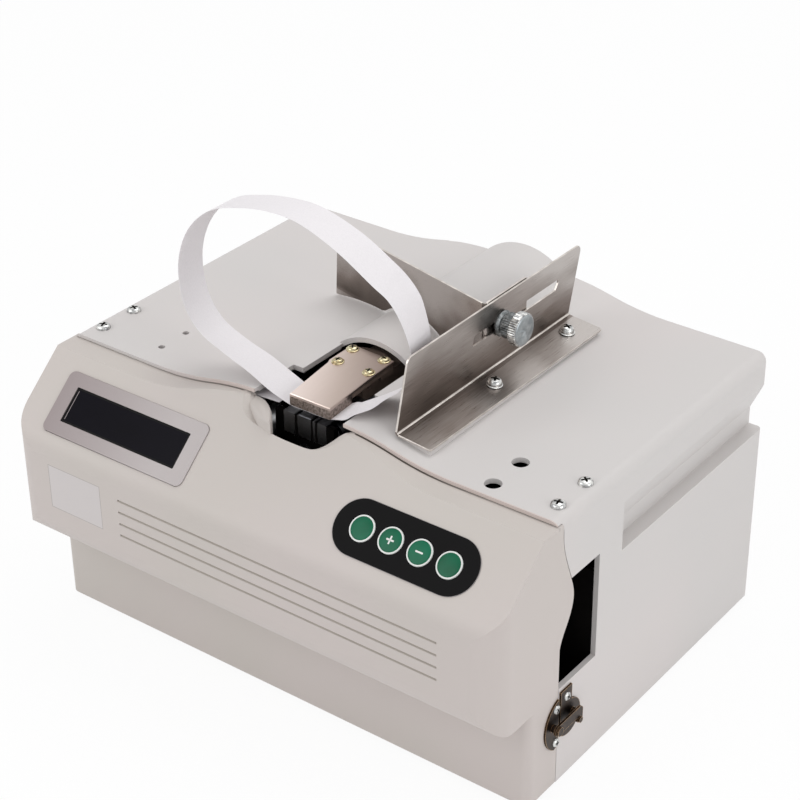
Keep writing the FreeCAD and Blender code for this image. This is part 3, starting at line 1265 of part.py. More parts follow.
def make_electrics():
    board = block((-120.0, 0.0, 12.0), (-60.0, 62.0, 13.6))
    posts = [block((x - 3, y - 3, d.foot_height + 2.5), (x + 3, y + 3, 12.5))
             for x in (-115.0, -65.0) for y in (5.0, 57.0)]
    parts = [block((-112.0, 14.0, 13.5), (-92.0, 34.0, 28.0)),
             block((-84.0, 12.0, 13.5), (-68.0, 30.0, 34.0)),
             rod(6.0, 22.0, (-104.0, 47.0, 13.5)), rod(6.0, 22.0, (-88.0, 47.0, 13.5)),
             block((-80.0, 40.0, 13.5), (-70.0, 56.0, 24.0))]
    keep(fuse(board, *posts, *parts), "power_board")
    core = block((60.0, 50.0, d.foot_height + 2.5), (120.0, 98.0, 52.0))
    coil = block((70.0, 42.0, 12.0), (110.0, 106.0, 46.0))
    keep(fuse(core, edge_rounding(coil, 4.0, lambda e: runs_along(e, X_AXIS))), "transformer")
    x, z, width, height = INLET
    body = Part.makeBox(width - 0.4, 18, height - 0.4,
                        Vector(x - width / 2 + 0.2, REAR - 19.2, z - height / 2 + 0.2))
    body = body.fuse(wall_rim(x, z, width, height))
    mouth = Part.makeBox(22.0, 15, 14.0, Vector(x - 11, REAR - 12, z - 7))
    body = body.cut(mouth)
    for dx, dz in ((-7, 1.6), (0, -1.6), (7, 1.6)):
        body = body.fuse(Part.makeBox(1.8, 9, 4.0, Vector(x + dx - 0.9, REAR - 13, z + dz - 2)))
    keep(formed(body), "power_inlet")
    x, z, width, height = SWITCH
    frame = Part.makeBox(width - 0.4, 14, height - 0.4,
                         Vector(x - width / 2 + 0.2, REAR - 14.5, z - height / 2 + 0.2))
    frame = frame.fuse(wall_rim(x, z, width, height))
    frame = frame.cut(Part.makeBox(9.4, 12, 15.6, Vector(x - 4.7, REAR - 8.5, z - 7.8)))
    keep(formed(frame), "switch_frame")
    rocker = Part.makeBox(8.8, 5.0, 14.6, Vector(x - 4.4, REAR - 7.2, z - 7.3))
    rocker = rocker.cut(Part.makeCylinder(20.0, 30, Vector(x - 15, REAR + 16.8, z), X_AXIS))
    rocker = rocker.fuse(Part.makeCylinder(1.5, 9.2, Vector(x - 4.6, ROCKER_PIVOT_Y, z), X_AXIS))
    rocker.rotate(Vector(x, ROCKER_PIVOT_Y, z), X_AXIS, -7)
    keep(formed(rocker), "switch_rocker")


# ---------------------------------------------------------------- check and export

def check_and_export():
    doc.recompute()
    for obj in doc.Objects:
        if "Invalid" in obj.State or "Error" in obj.State:
            raise RuntimeError(f"{obj.Name} ({obj.Label}): {obj.State}")
    os.makedirs("parts", exist_ok=True)
    labels = [obj.Label for obj in sub_parts]
    if len(set(labels)) != len(labels):
        raise RuntimeError("two sub-parts share a label")
    for obj in sub_parts:
        shape = obj.Shape
        if shape.isNull() or not shape.isValid() or not shape.Solids:
            raise RuntimeError(f"{obj.Label} has no valid solid")
        shape.exportStep(f"parts/{obj.Label}.step")


make_main_housing()
make_front_cover()
make_controls()
make_base()
make_hinges()
make_latch()
make_side_guide()
make_back_guide()
make_thumb_screw()
make_screws()
make_anvil()
make_head_frame()
make_camshaft()
make_sliders()
make_mechanism_plate()
make_drive()
make_feed()
make_reel()
make_tape()
make_electrics()
check_and_export()
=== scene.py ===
# %% [markdown]
# # A banknote strapping machine, dressed for display
# The CAD model gives every solid its size and place. This lesson gives it what a drawing leaves out:
# grained plastic, brushed steel, tarnished brass, paper, screw heads with real recesses, a camera and light.
# Everything is in metres, in the same frame as the CAD model, so nothing has to be fitted.

# %% Load the packed model
import json
import math

import bmesh
import bpy
from mathutils import Matrix, Vector


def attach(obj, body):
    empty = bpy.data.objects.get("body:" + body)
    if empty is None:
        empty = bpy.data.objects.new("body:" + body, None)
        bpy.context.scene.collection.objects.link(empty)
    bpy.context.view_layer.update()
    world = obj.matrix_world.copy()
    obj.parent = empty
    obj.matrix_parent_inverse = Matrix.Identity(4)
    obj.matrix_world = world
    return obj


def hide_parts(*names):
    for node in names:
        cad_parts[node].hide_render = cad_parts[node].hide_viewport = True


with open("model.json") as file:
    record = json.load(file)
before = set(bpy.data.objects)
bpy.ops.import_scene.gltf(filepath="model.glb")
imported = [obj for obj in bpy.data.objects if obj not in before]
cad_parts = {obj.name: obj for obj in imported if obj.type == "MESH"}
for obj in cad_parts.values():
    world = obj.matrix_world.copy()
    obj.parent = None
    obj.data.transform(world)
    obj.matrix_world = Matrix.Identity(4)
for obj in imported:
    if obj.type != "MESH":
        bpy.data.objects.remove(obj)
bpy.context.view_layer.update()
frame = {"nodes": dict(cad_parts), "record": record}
NODES = frame["nodes"]
MM = 0.001


# %% [markdown]
# ## The camera
# A camera is a place, a direction and a lens. Here the direction is built from an azimuth and an elevation,
# because those are easy to picture: 36 degrees round to the right, and 30 degrees up. The roll is small.
# The long lens keeps the far edges almost parallel. The shift slides the frame without turning the camera.

# %% Place the camera
# The frame's side and the focal length in pixels, and the pixel where the lens looks straight ahead.
FRAME_PIXELS = 800
FOCAL_PIXELS = 2066.053
MIDDLE = (460.814, 385.346)
# Azimuth, elevation and roll in degrees. Then, in millimetres, the point that the camera is placed from,
# and the way from there to the camera: to its right, up and back.
CAMERA_ANGLES = (35.5498, 30.3683, 0.2897)
CAMERA_BASE = (0, 16.5, 3)
CAMERA_OFFSET = (30.543, 123.501, 1241.276)
SENSOR_MM = 36


def camera_rows(azimuth, elevation, roll):
    """Right, up and back of a camera that looks down on the origin."""
    a, e, r = (math.radians(angle) for angle in (azimuth, elevation, roll))
    back = Vector((math.sin(a) * math.cos(e), -math.cos(a) * math.cos(e), math.sin(e)))
    right = Vector((math.cos(a), math.sin(a), 0))
    up = back.cross(right)
    return (right * math.cos(r) + up * math.sin(r), up * math.cos(r) - right * math.sin(r), back)


def place_camera():
    rows = camera_rows(*CAMERA_ANGLES)
    at = sum((row * length for row, length in zip(rows, CAMERA_OFFSET)), Vector(CAMERA_BASE))
    camera = bpy.data.objects.new("camera", bpy.data.cameras.new("camera"))
    bpy.context.scene.collection.objects.link(camera)
    camera.matrix_world = Matrix.Translation(at * MM) @ Matrix(rows).transposed().to_4x4()
    camera.data.sensor_width = SENSOR_MM
    camera.data.lens = SENSOR_MM * FOCAL_PIXELS / FRAME_PIXELS
    camera.data.shift_x = (FRAME_PIXELS / 2 - MIDDLE[0]) / FRAME_PIXELS
    camera.data.shift_y = (MIDDLE[1] - FRAME_PIXELS / 2) / FRAME_PIXELS
    camera.data.clip_start = 0.05
    bpy.context.scene.camera = camera
    return camera


camera = place_camera()
print(f"lens {camera.data.lens:.1f} mm at {[round(v, 3) for v in camera.location]}")

# %% [markdown]
# ## Shader maths as plain sums
# A material in Blender is a graph of nodes. Wiring it by hand hides the arithmetic, so a Wire stands for
# one output of a node, and adding, subtracting or multiplying Wires places the Math node that does it.

# %% A wire
class Wire:
    """One output of a node. Each operator places one Math node."""

    def __init__(self, finish, socket):
        self.finish, self.socket = finish, socket

    def maths(self, operation, first, second):
        return self.finish.maths(operation, first, second)

    def __add__(self, other):
        return self.maths("ADD", self, other)

    __radd__ = __add__

    def __sub__(self, other):
        return self.maths("SUBTRACT", self, other)

    def __rsub__(self, other):
        return self.maths("SUBTRACT", other, self)

    def __mul__(self, other):
        return self.maths("MULTIPLY", self, other)

    __rmul__ = __mul__


print("a wire can be added, subtracted and multiplied, from either side")

# %% [markdown]
# ## A finish under construction
# A Finish is a material while it is being built up. One method, `add`, places any node, sets it up and
# plugs its inputs. The others say in a word what the finishes below want again and again: the place of
# a point, a cloud of noise, a ramp of colours, a relief.

# %% A finish
class Finish:
    """A material, or the sky, that is being built up from nodes."""

    def __init__(self, name, sky=False):
        library = bpy.data.worlds if sky else bpy.data.materials
        self.material = library.new(name)
        self.material.use_nodes = True
        self.nodes = self.material.node_tree.nodes
        self.shader = self.nodes["Background" if sky else "Principled BSDF"]
        self.end = self.nodes["World Output" if sky else "Material Output"]

    def plug(self, socket, value):
        if isinstance(value, Wire):
            self.material.node_tree.links.new(value.socket, socket)
        else:
            socket.default_value = value

    def add(self, kind, settings=None, inputs=None, output=0):
        """Places a node, sets it up, and then gives its inputs their values or links."""
        node = self.nodes.new(kind)
        for name, value in (settings or {}).items():
            if name == "stops":
                set_stops(node.color_ramp, value)
            else:
                setattr(node, name, value)
        for key, value in (inputs or {}).items():
            self.plug(node.inputs[key], value)
        return Wire(self, node.outputs[output])

    def maths(self, operation, first, second):
        return self.add("ShaderNodeMath", {"operation": operation}, {0: first, 1: second})

    def set(self, **sockets):
        """Values or links of the shader itself; an underscore stands for a space."""
        for name, value in sockets.items():
            self.plug(self.shader.inputs[name.replace("_", " ")], value)
        return self

    def here(self, stretch=(1, 1, 1)):
        """The point being shaded, in the object's own metres, scaled along its axes."""
        place = self.add("ShaderNodeTexCoord", output="Object")
        return self.add("ShaderNodeVectorMath", {"operation": "MULTIPLY"}, {0: place, 1: stretch})

    def cloud(self, size, stretch=(1, 1, 1), detail=2.0, rough=0.5):
        """Soft noise from 0 to 1, with features about `size` metres across."""
        return self.add("ShaderNodeTexNoise", {"noise_dimensions": "3D"},
                        {"Vector": self.here(stretch), "Scale": 1 / size, "Detail": detail,
                         "Roughness": rough})

    def position(self):
        """The x, y and z of the point being shaded, in metres."""
        node = self.add("ShaderNodeSeparateXYZ", {}, {0: self.here()}).socket.node
        return [Wire(self, output) for output in node.outputs]

    def span(self, value, low, high):
        """Rises evenly from 0 where the value is `low` to 1 where it is `high`."""
        return self.add("ShaderNodeMapRange", {}, {0: value, 1: low, 2: high})

    def near(self, value, middle, reach):
        """1 where the value lies within `reach` of the middle, and 0 elsewhere."""
        return self.add("ShaderNodeMath", {"operation": "COMPARE"}, {0: value, 1: middle, 2: reach})

    def above(self, value, level):
        return self.maths("GREATER_THAN", value, level)

    def ramp(self, value, stops):
        return self.add("ShaderNodeValToRGB", {"stops": stops}, {"Fac": value})

    def blend(self, amount, first, second):
        """From the first colour, where the amount is 0, to the second, where it is 1."""
        return self.add("ShaderNodeMix", {"data_type": "RGBA"},
                        {0: amount, 6: first, 7: second}, output=2)

    def relief(self, height, depth):
        """Turns a height from 0 to 1 into a surface relief `depth` metres deep."""
        return self.add("ShaderNodeBump", {}, {"Height": height, "Distance": depth, "Strength": 1.0})


print("a finish can", ", ".join(name for name in vars(Finish) if not name.startswith("_")))

# %% [markdown]
# ## Colours
# A shader works in linear light, where mid grey is about a fifth of white and not a half. So colours are
# written as everyday numbers from 0 to 255, and one function brings them into linear light.

# %% Colours and ramps
def set_stops(ramp, stops):
    while len(ramp.elements) < len(stops):
        ramp.elements.new(0.5)
    for element, (position, colour) in zip(ramp.elements, stops):
        element.position = position
        element.color = colour


def greys(*stops):
    """Stops of a ramp from (position, level) pairs."""
    return [(position, (level, level, level, 1)) for position, level in stops]


def shade(red, green, blue):
    """An everyday 0 to 255 colour as the linear numbers that a shader works in."""
    linear = [((c / 255 + 0.055) / 1.055) ** 2.4 if c > 10 else c / 255 / 12.92
              for c in (red, green, blue)]
    return (*linear, 1.0)


print("mid grey in linear light:", [round(c, 3) for c in shade(128, 128, 128)[:3]])

# %% [markdown]
# ## Floor and light
# The object stands on a pale floor in even light, the way a product is lit in a white tent: a bright sky all
# round, and broad lamps in front, on the right and above. Even light keeps the greys as they are written.
# The background is white only because sky and floor are shown so to the rays that see it. They light the
# object with what they really give.

# %% Sky, floor and lamps
def seen_rays(finish):
    """1 for rays that show the background: from the camera, off metal and through glass."""
    rays = [finish.add("ShaderNodeLightPath", output=kind)
            for kind in ("Is Camera Ray", "Is Glossy Ray", "Is Transmission Ray")]
    return rays[0].maths("MAXIMUM", rays[0].maths("MAXIMUM", rays[0], rays[1]), rays[2])


def shown_as_white(finish, share, glow):
    """Shows `share` of plain white to the rays that see the background."""
    own = Wire(finish, finish.shader.outputs[0])
    white = finish.add(glow, {}, {"Color": (1, 1, 1, 1), "Strength": 1.0})
    mixed = finish.add("ShaderNodeMixShader", {}, {0: seen_rays(finish) * share, 1: own, 2: white})
    finish.plug(finish.end.inputs["Surface"], mixed)


def make_sky():
    sky = Finish("studio_sky", sky=True)
    bpy.context.scene.world = sky.material
    sky.set(Color=(0.98, 0.99, 1.0, 1), Strength=SKY_STRENGTH)
    shown_as_white(sky, 1.0, "ShaderNodeBackground")


def make_floor():
    finish = Finish("studio_floor")
    finish.set(Base_Color=(0.95, 0.95, 0.95, 1), Roughness=0.9)
    shown_as_white(finish, FLOOR_WHITE, "ShaderNodeEmission")
    corners = [(x * FLOOR_REACH, y * FLOOR_REACH, 0) for x, y in ((-1, -1), (1, -1), (1, 1), (-1, 1))]
    mesh = bpy.data.meshes.new("floor")
    mesh.from_pydata(corners, [], [(0, 1, 2, 3)])
    floor = bpy.data.objects.new("floor", mesh)
    bpy.context.scene.collection.objects.link(floor)
    mesh.materials.append(finish.material)
    floor.location.z = -FLOOR_GAP


def make_lamp(name, at, size, power):
    lamp = bpy.data.lights.new(name, "AREA")
    lamp.shape = "SQUARE"
    lamp.size = size
    lamp.energy = power
    holder = bpy.data.objects.new(name, lamp)
    bpy.context.scene.collection.objects.link(holder)
    holder.location = at
    holder.rotation_euler = (Vector(LAMP_AIM) - Vector(at)).to_track_quat("-Z", "Y").to_euler()


SKY_STRENGTH = 0.56
FLOOR_WHITE = 0.93
FLOOR_REACH = 3.0
FLOOR_GAP = 0.0002
LAMP_AIM = (0, 0, 0.1)
bpy.context.scene.view_settings.view_transform = "Standard"
make_sky()
make_floor()
make_lamp("front_lamp", (-0.9, -1.6, 1.3), 1.4, 13)
make_lamp("right_lamp", (1.9, -0.2, 0.9), 1.2, 10)
make_lamp("top_lamp", (0.1, 0.6, 1.9), 1.2, 10)
print("one sky, one floor, three lamps")

# %% [markdown]
# ## Moulded plastic
# The two big mouldings have a spark-eroded skin: a very fine, even grain that makes the plastic satin.
# The grey leans from warm to neutral over a hand's width. The grain is noise half a millimetre wide,
# used twice, as relief and as a small change of roughness, so both agree.

# %% Grained plastic
GRAIN, GRAIN_DEPTH = 0.0005, 0.00002


def moulded_plastic(name, cool, warm, roughness=0.42, marks=None, grain=GRAIN, depth=GRAIN_DEPTH):
    """Grained plastic. `marks` is a function that paints marks over the colour."""
    finish = Finish(name)
    patches = finish.cloud(0.11, detail=1.0)
    skin = finish.cloud(grain, detail=1.0)
    colour = finish.ramp(patches, [(0.35, cool), (0.65, warm)])
    finish.set(Base_Color=marks(finish, colour) if marks else colour,
               Roughness=patches * 0.06 + skin * 0.08 + roughness,
               Normal=finish.relief(skin, depth), Specular_IOR_Level=0.42)
    return finish.material


print(f"grain {1000 * GRAIN:.1f} mm wide and {1000 * GRAIN_DEPTH:.2f} mm deep")

# %% [markdown]
# ## Marks on the mouldings
# A moulding is not one even colour: a label covers a patch, and light and shade are painted on too: painted
# shade in the grooves, a painted shadow along the joint, painted shade on the deck's front rim and on the
# left of the display frame. Each mark is a mask that is worked out from the point's place, and a blend
# paints the mark's colour where the mask is 1. So the mouldings need no extra faces for them.

# %% Marks on the mouldings
# Places of the marks in metres: the front face, the rim of the deck, the joint below it, and the label.
FRONT_Y, RIM_Y, JOINT_Y = -0.1335, -0.0787, -0.0791
LABEL_X, LABEL_Z = -0.1179, 0.1050
LABEL_HALF_WIDTH, LABEL_HALF_HEIGHT, OUTLINE_WIDTH = 0.0193, 0.0136, 0.0004


def bezel_left_shade(finish, colour):
    """Painted shade: the silver lacquer of the display frame is painted darker towards the left."""
    x = finish.position()[0]
    return finish.blend(finish.span(x, -0.150, -0.062), shade(150, 138, 138), colour)


def deck_rim_shade(finish, colour):
    """Painted shade: the deck's front rim, which faces forward, is painted a little darker and pinker than
    the top, fading out towards the left.
    """
    x, y, z = finish.position()
    rim = finish.near(y, RIM_Y, 0.0006) * finish.above(z, 0.1665)
    return finish.blend(rim * finish.span(x, -0.105, -0.055), colour, shade(208, 195, 189))


def front_label_and_shade(finish, colour):
    """A blank label with a fine outline, painted shade in the four grooves, and a painted shadow along the
    joint.
    """
    x, y, z = finish.position()

    def label_area(extra):
        """The label's place on the front, wider by so much all round."""
        return (finish.near(x, LABEL_X, LABEL_HALF_WIDTH + extra)
                * finish.near(z, LABEL_Z, LABEL_HALF_HEIGHT + extra) * finish.near(y, FRONT_Y, 0.0002))

    # Painted shade: the floors of the four grooves are painted darker, where shade falls in them.
    groove_shade = (finish.near(y, FRONT_Y + 0.0009, 0.0008) * finish.near(x, 0.0225, 0.1078)
              * finish.near(z, 0.1041, 0.0135))
    # Painted shadow: a dark band on the cover just ahead of the deck's rim, where the rim casts its shadow;
    # a ramp sets its strength along the machine.
    along = finish.span(x, -0.165, 0.165)
    joint_shadow_strength = finish.ramp(along, greys((0.16, 0.0), (0.3, 0.5), (0.385, 0.65), (0.388, 0.0), (0.614, 0.0),
                                    (0.617, 0.95), (0.75, 0.85), (0.88, 0.2)))
    joint_shadow = finish.near(y, JOINT_Y, 0.00058) * finish.above(z, 0.1655) * joint_shadow_strength
    colour = finish.blend(joint_shadow, colour, shade(66, 56, 50))
    colour = finish.blend(label_area(OUTLINE_WIDTH), colour, shade(172, 164, 161))
    colour = finish.blend(label_area(0.0), colour, shade(205, 199, 198))
    return finish.blend(groove_shade, colour, shade(174, 166, 157))


print(f"label {2000 * LABEL_HALF_WIDTH:.1f} by {2000 * LABEL_HALF_HEIGHT:.1f} mm")

# %% [markdown]
# ## Glossy black
# The display window, its printed border, the key panel and the rocker switch are smooth and dark. The
# haze that wiping leaves shows on them more than their colour does, so stretched noise changes the colour
# and the roughness together.

# %% Glossy black, and the table of plastics
def glossy_black(name, base, streak, roughness, gloss):
    """Smooth dark plastic or glass, with the faint haze that handling leaves."""
    finish = Finish(name)
    haze = finish.cloud(0.02, (1, 2.5, 1), detail=4)
    finish.set(Base_Color=finish.ramp(haze, [(0.3, base), (0.8, streak)]),
               Roughness=haze * 0.12 + roughness, Specular_IOR_Level=gloss,
               Normal=finish.relief(finish.cloud(0.004, detail=2), 0.00001))
    return finish.material


FINISHES = {}


def add_finishes(recipe, rows):
    """Makes one finish from each row: two everyday colours, and then what else the recipe takes."""
    for name, (first, second, *rest) in rows.items():
        FINISHES[name] = recipe(name, shade(*first), shade(*second), *rest)


add_finishes(moulded_plastic, {
    "housing_plastic": ((208, 204, 202), (212, 206, 204), 0.42, deck_rim_shade),
    "cover_plastic": ((198, 191, 185), (201, 192, 188), 0.42, front_label_and_shade),
    "reel_plastic": ((196, 198, 200), (204, 204, 203), 0.35),
    "bezel_silver": ((182, 174, 173), (190, 183, 182), 0.36, bezel_left_shade, 0.0003, 0.00001),
    "inlet_plastic": ((28, 28, 29), (36, 35, 35), 0.45),
    "key_white": ((226, 227, 224), (236, 236, 234), 0.3, None, 0.0003, 0.000004),
    "trim_grey": ((138, 133, 133), (152, 148, 148), 0.3),
})
add_finishes(glossy_black, {
    "display_black": ((11, 9, 16), (14, 12, 20), 0.16, 0.05),
    "border_black": ((6, 5, 5), (10, 9, 9), 0.3, 0.1),
    "panel_black": ((8, 7, 8), (12, 11, 12), 0.42, 0.08),
    "rocker_black": ((20, 20, 21), (28, 28, 29), 0.3, 0.3),
})
print("plastics:", ", ".join(FINISHES))

# %% [markdown]
# ## Brushed metal
# A brushed sheet is scratched in one direction. Noise stretched fifty times along that direction gives
# the same lines in colour, roughness and relief, and a wider noise makes the tone a little uneven.

# %% Brushed metal
def brushed_metal(name, dark, light, along, roughness):
    """Metal that is scratched along one axis: "x", "y" or "z"."""
    finish = Finish(name)
    stretch = tuple(0.02 if axis == along else 1.0 for axis in "xyz")
    lines = finish.cloud(0.0004, stretch, detail=3, rough=0.7)
    wide = finish.cloud(0.03, detail=1)
    tone = lines * 0.6 + wide * 0.4
    finish.set(Base_Color=finish.ramp(tone, [(0.3, dark), (0.7, light)]), Metallic=1.0,
               Roughness=lines * 0.16 + roughness, Normal=finish.relief(lines, 0.000004))
    return finish.material


add_finishes(brushed_metal, {
    "stainless": ((148, 138, 131), (176, 166, 158), "y", 0.24),
    "hinge_steel": ((168, 168, 170), (196, 196, 197), "z", 0.28),
    "tool_steel": ((120, 121, 124), (166, 167, 170), "y", 0.25),
    "bare_aluminium": ((188, 189, 191), (212, 213, 214), "x", 0.34),
})
print(len(FINISHES), "finishes with brushed metal")

# %% [markdown]
# ## Plated and painted metal
# Plated parts are smooth, with a cloudy tint: bluish for zinc, straw for yellow zinc. Painted or bronzed
# steel is dull, so it is no metal to the shader, and it has the faint orange peel of a sprayed coat.

# %% Plated and painted metal
def plated_metal(name, first, second, roughness, patch=0.006):
    """Plated metal whose tint changes from patch to patch, each so many metres across."""
    finish = Finish(name)
    tint = finish.cloud(patch, detail=3)
    grain = finish.cloud(0.0003, detail=1)
    finish.set(Base_Color=finish.ramp(tint, [(0.35, first), (0.65, second)]), Metallic=1.0,
               Roughness=tint * 0.14 + roughness, Normal=finish.relief(grain, 0.000003))
    return finish.material


def painted_metal(name, colour, worn, roughness):
    finish = Finish(name)
    patches = finish.cloud(0.02, detail=3)
    peel = finish.cloud(0.0015, detail=1)
    finish.set(Base_Color=finish.ramp(patches, [(0.3, colour), (0.75, worn)]),
               Roughness=patches * 0.15 + roughness, Normal=finish.relief(peel, 0.00002),
               Specular_IOR_Level=0.03)
    return finish.material


add_finishes(plated_metal, {
    "worn_nickel": ((112, 101, 95), (176, 162, 154), 0.34, 0.0014),
    # Painted shade: the next two rows are darker copies of zinc, for the thumb screw's end face and for its
    # waist, collar and washer.
    "zinc_face": ((142, 149, 152), (178, 183, 185), 0.3, 0.004),
    "zinc_shadow": ((92, 96, 97), (150, 153, 154), 0.3, 0.002),
    # A painted highlight: a light copy of the steel that the cut edges and bends of the guides take.
    "bright_edge": ((192, 185, 179), (218, 212, 206), 0.3),
    # A painted shade: a dark copy of the plating for screw recesses and the undersides of heads.
    "recess_dark": ((44, 42, 39), (70, 66, 62), 0.4),
    "zinc_plated": ((150, 151, 152), (226, 226, 223), 0.15, 0.0022),
    "yellow_zinc": ((158, 140, 104), (210, 203, 172), 0.18, 0.002),
    "frame_steel": ((170, 172, 174), (196, 197, 198), 0.3, 0.02),
})
add_finishes(painted_metal, {
    "arm_bronze": ((98, 85, 77), (132, 116, 106), 0.35),
    # Partly painted shade: the frame's black paint is made nearly black, so that the inside of the head
    # looks as dark as its shade.
    "frame_black": ((9, 8, 8), (20, 18, 17), 0.6),
    "motor_paint": ((58, 60, 63), (70, 72, 74), 0.45),
    "transformer_iron": ((52, 50, 50), (84, 80, 76), 0.55),
})
print(len(FINISHES), "finishes with plated and painted metal")

# %% [markdown]
# ## Three metals of their own
# The note guides are finely ground, and painted reflections give them broad soft gleams. The tongue is
# painted lighter towards its front left corner, a painted reflection. The latch is tarnished brass: dark in
# the hollows, rubbed bright where fingers and the keeper touch it, which a bevelled normal finds, since it
# differs only near edges.

# %% Guides, tongue and latch
def guide_steel(name):
    """Fine-ground stainless with painted reflections: faint lines over broad soft patches, painted shade
    near the bend and painted light towards the top.

    The foot, which lies low, has painted gleams of its own along its length."""
    finish = Finish(name)
    lines = finish.cloud(0.0005, (1.0, 0.03, 1.0), detail=2, rough=0.6)
    broad = finish.cloud(0.03, (1.0, 0.45, 1.3), detail=2, rough=0.45)
    y, z = finish.position()[1:]
    # Painted shade near the bend and painted light towards the top edge, set by height.
    painted_height_shade = finish.ramp(finish.span(z, 0.170, 0.220),
                      greys((0.0, 0.5), (0.155, 0.42), (0.2, 0.1), (0.62, 0.5), (0.95, 1.0)))
    # Painted gleams: lighter streaks along the foot that stand for reflections.
    foot = finish.near(z, 0.1725, 0.0048)
    painted_gleams = finish.ramp(finish.span(y, -0.070, 0.095),
                         greys((0.0, 0.1), (0.4, 0.05), (0.5, 0.45), (0.62, 0.5), (0.7, 0.2), (0.8, 0.3),
                               (0.9, 0.8), (1.0, 1.0)))
    tone = lines * 0.14 + broad * 0.5 + painted_height_shade * 0.3 + foot * painted_gleams * 0.3
    finish.set(Base_Color=finish.ramp(tone, [(0.22, shade(84, 76, 70)), (0.40, shade(132, 122, 116)),
                                             (0.58, shade(186, 180, 176))]),
               Metallic=1.0, Roughness=lines * 0.1 + 0.24, Normal=finish.relief(lines, 0.000002))
    return finish.material


def tongue_nickel(name):
    """Brushed nickel, painted lighter towards the front left corner: a painted reflection."""
    finish = Finish(name)
    lines = finish.cloud(0.0005, (1.0, 0.02, 1.0), detail=3, rough=0.7)
    x, y = finish.position()[:2]
    # Painted reflection: the share of the lighter nickel grows towards the front left corner.
    worn = finish.span(0 - x - y * 0.5, -0.008, 0.044)
    finish.set(Base_Color=finish.ramp(worn * 0.85 + lines * 0.15, [(0.08, shade(146, 129, 122)),
                                      (0.5, shade(186, 170, 161)), (0.9, shade(226, 211, 204))]),
               Metallic=1.0, Roughness=lines * 0.14 + 0.28, Normal=finish.relief(lines, 0.000003))
    return finish.material


def tarnished_brass(name):
    finish = Finish(name)
    rounded = finish.add("ShaderNodeBevel", {"samples": 6}, {"Radius": 0.0006})
    flat = finish.add("ShaderNodeNewGeometry", output="Normal")
    across = finish.add("ShaderNodeVectorMath", {"operation": "DOT_PRODUCT"}, {0: rounded, 1: flat}, 1)
    spots = finish.cloud(0.0025, detail=4, rough=0.65)
    rubbed = finish.ramp((1 - across) * 5.0 + spots * 0.45, greys((0.42, 0.0), (0.8, 1.0)))
    dark = finish.ramp(spots, [(0.3, shade(38, 33, 30)), (0.75, shade(80, 65, 56))])
    finish.set(Base_Color=finish.blend(rubbed, dark, shade(190, 158, 122)), Metallic=1.0,
               Roughness=spots * 0.2 + 0.26, Normal=finish.relief(spots, 0.00002))
    return finish.material


FINISHES["guide_steel"] = guide_steel("guide_steel")
FINISHES["tongue_nickel"] = tongue_nickel("tongue_nickel")
FINISHES["antique_brass"] = tarnished_brass("antique_brass")
print(len(FINISHES), "finishes with the metals")

# %% [markdown]
# ## Paper, rubber, keys and boards
# Paper tape is nearly white with a cool cast. Its fibres show as a very faint pattern in colour and relief.
# Rubber is dark, matt and a little dusty. A key is glossy green, and a circuit board is green lacquer.

# %% Paper, rubber, keys and boards
def tape_paper(name):
    finish = Finish(name)
    fibres = finish.cloud(0.0012, (1, 3, 1), detail=4, rough=0.6)
    finish.set(Base_Color=finish.ramp(fibres, [(0.3, shade(231, 227, 229)), (0.7, shade(239, 235, 237))]),
               Roughness=fibres * 0.1 + 0.5, Normal=finish.relief(fibres, 0.000012),
               Specular_IOR_Level=0.3)
    return finish.material


def soft_rubber(name, colour, dusty):
    finish = Finish(name)
    dust = finish.cloud(0.006, detail=4)
    finish.set(Base_Color=finish.ramp(dust, [(0.35, colour), (0.8, dusty)]),
               Roughness=dust * 0.2 + 0.62, Normal=finish.relief(finish.cloud(0.0008), 0.00004))
    return finish.material


def key_lacquer(name, deep, bright):
    finish = Finish(name)
    glow = finish.cloud(0.012, detail=1)
    finish.set(Base_Color=finish.ramp(glow, [(0.3, deep), (0.75, bright)]), Coat_Weight=0.04,
               Coat_Roughness=0.12, Specular_IOR_Level=0.2, Roughness=glow * 0.1 + 0.3,
               Normal=finish.relief(finish.cloud(0.0007), 0.000006))
    return finish.material


add_finishes(soft_rubber, {
    "rubber_black": ((30, 30, 30), (48, 47, 45)),
    "roller_rubber": ((66, 62, 58), (84, 80, 74)),
})
add_finishes(key_lacquer, {
    "key_green": ((0, 84, 56), (10, 104, 74)),
    "board_green": ((20, 74, 46), (30, 92, 58)),
})
FINISHES["paper_white"] = tape_paper("paper_white")
SLOT_OF = {part["node"]: part["material_slot"] for part in frame["record"]["subparts"]}
for node, slot_name in SLOT_OF.items():
    NODES[node].data.materials.clear()
    NODES[node].data.materials.append(FINISHES[slot_name])
print(f"{len(FINISHES)} finishes on {len(SLOT_OF)} solids")

# %% [markdown]
# ## Meshes by hand
# Small parts are quickest to describe the way a workshop makes them. A screw or a knob is turned: one
# profile, spun round an axis. A slot or a cross recess is cut: a boolean with a cutter. A strip of paper or
# a bent sheet is a chain of cross sections. A stamped plate is an outline with a thickness. A few short
# helpers cover all of these. Faces can be marked, so that they take a second finish: a painted highlight on
# cut edges and painted shade in screw recesses.

# %% Swept and turned forms
# Degrees up to which an edge is shaded smooth, and the tiny radius that stands for 0.
SMOOTH_TO = 40
ALMOST_ZERO = 1e-8


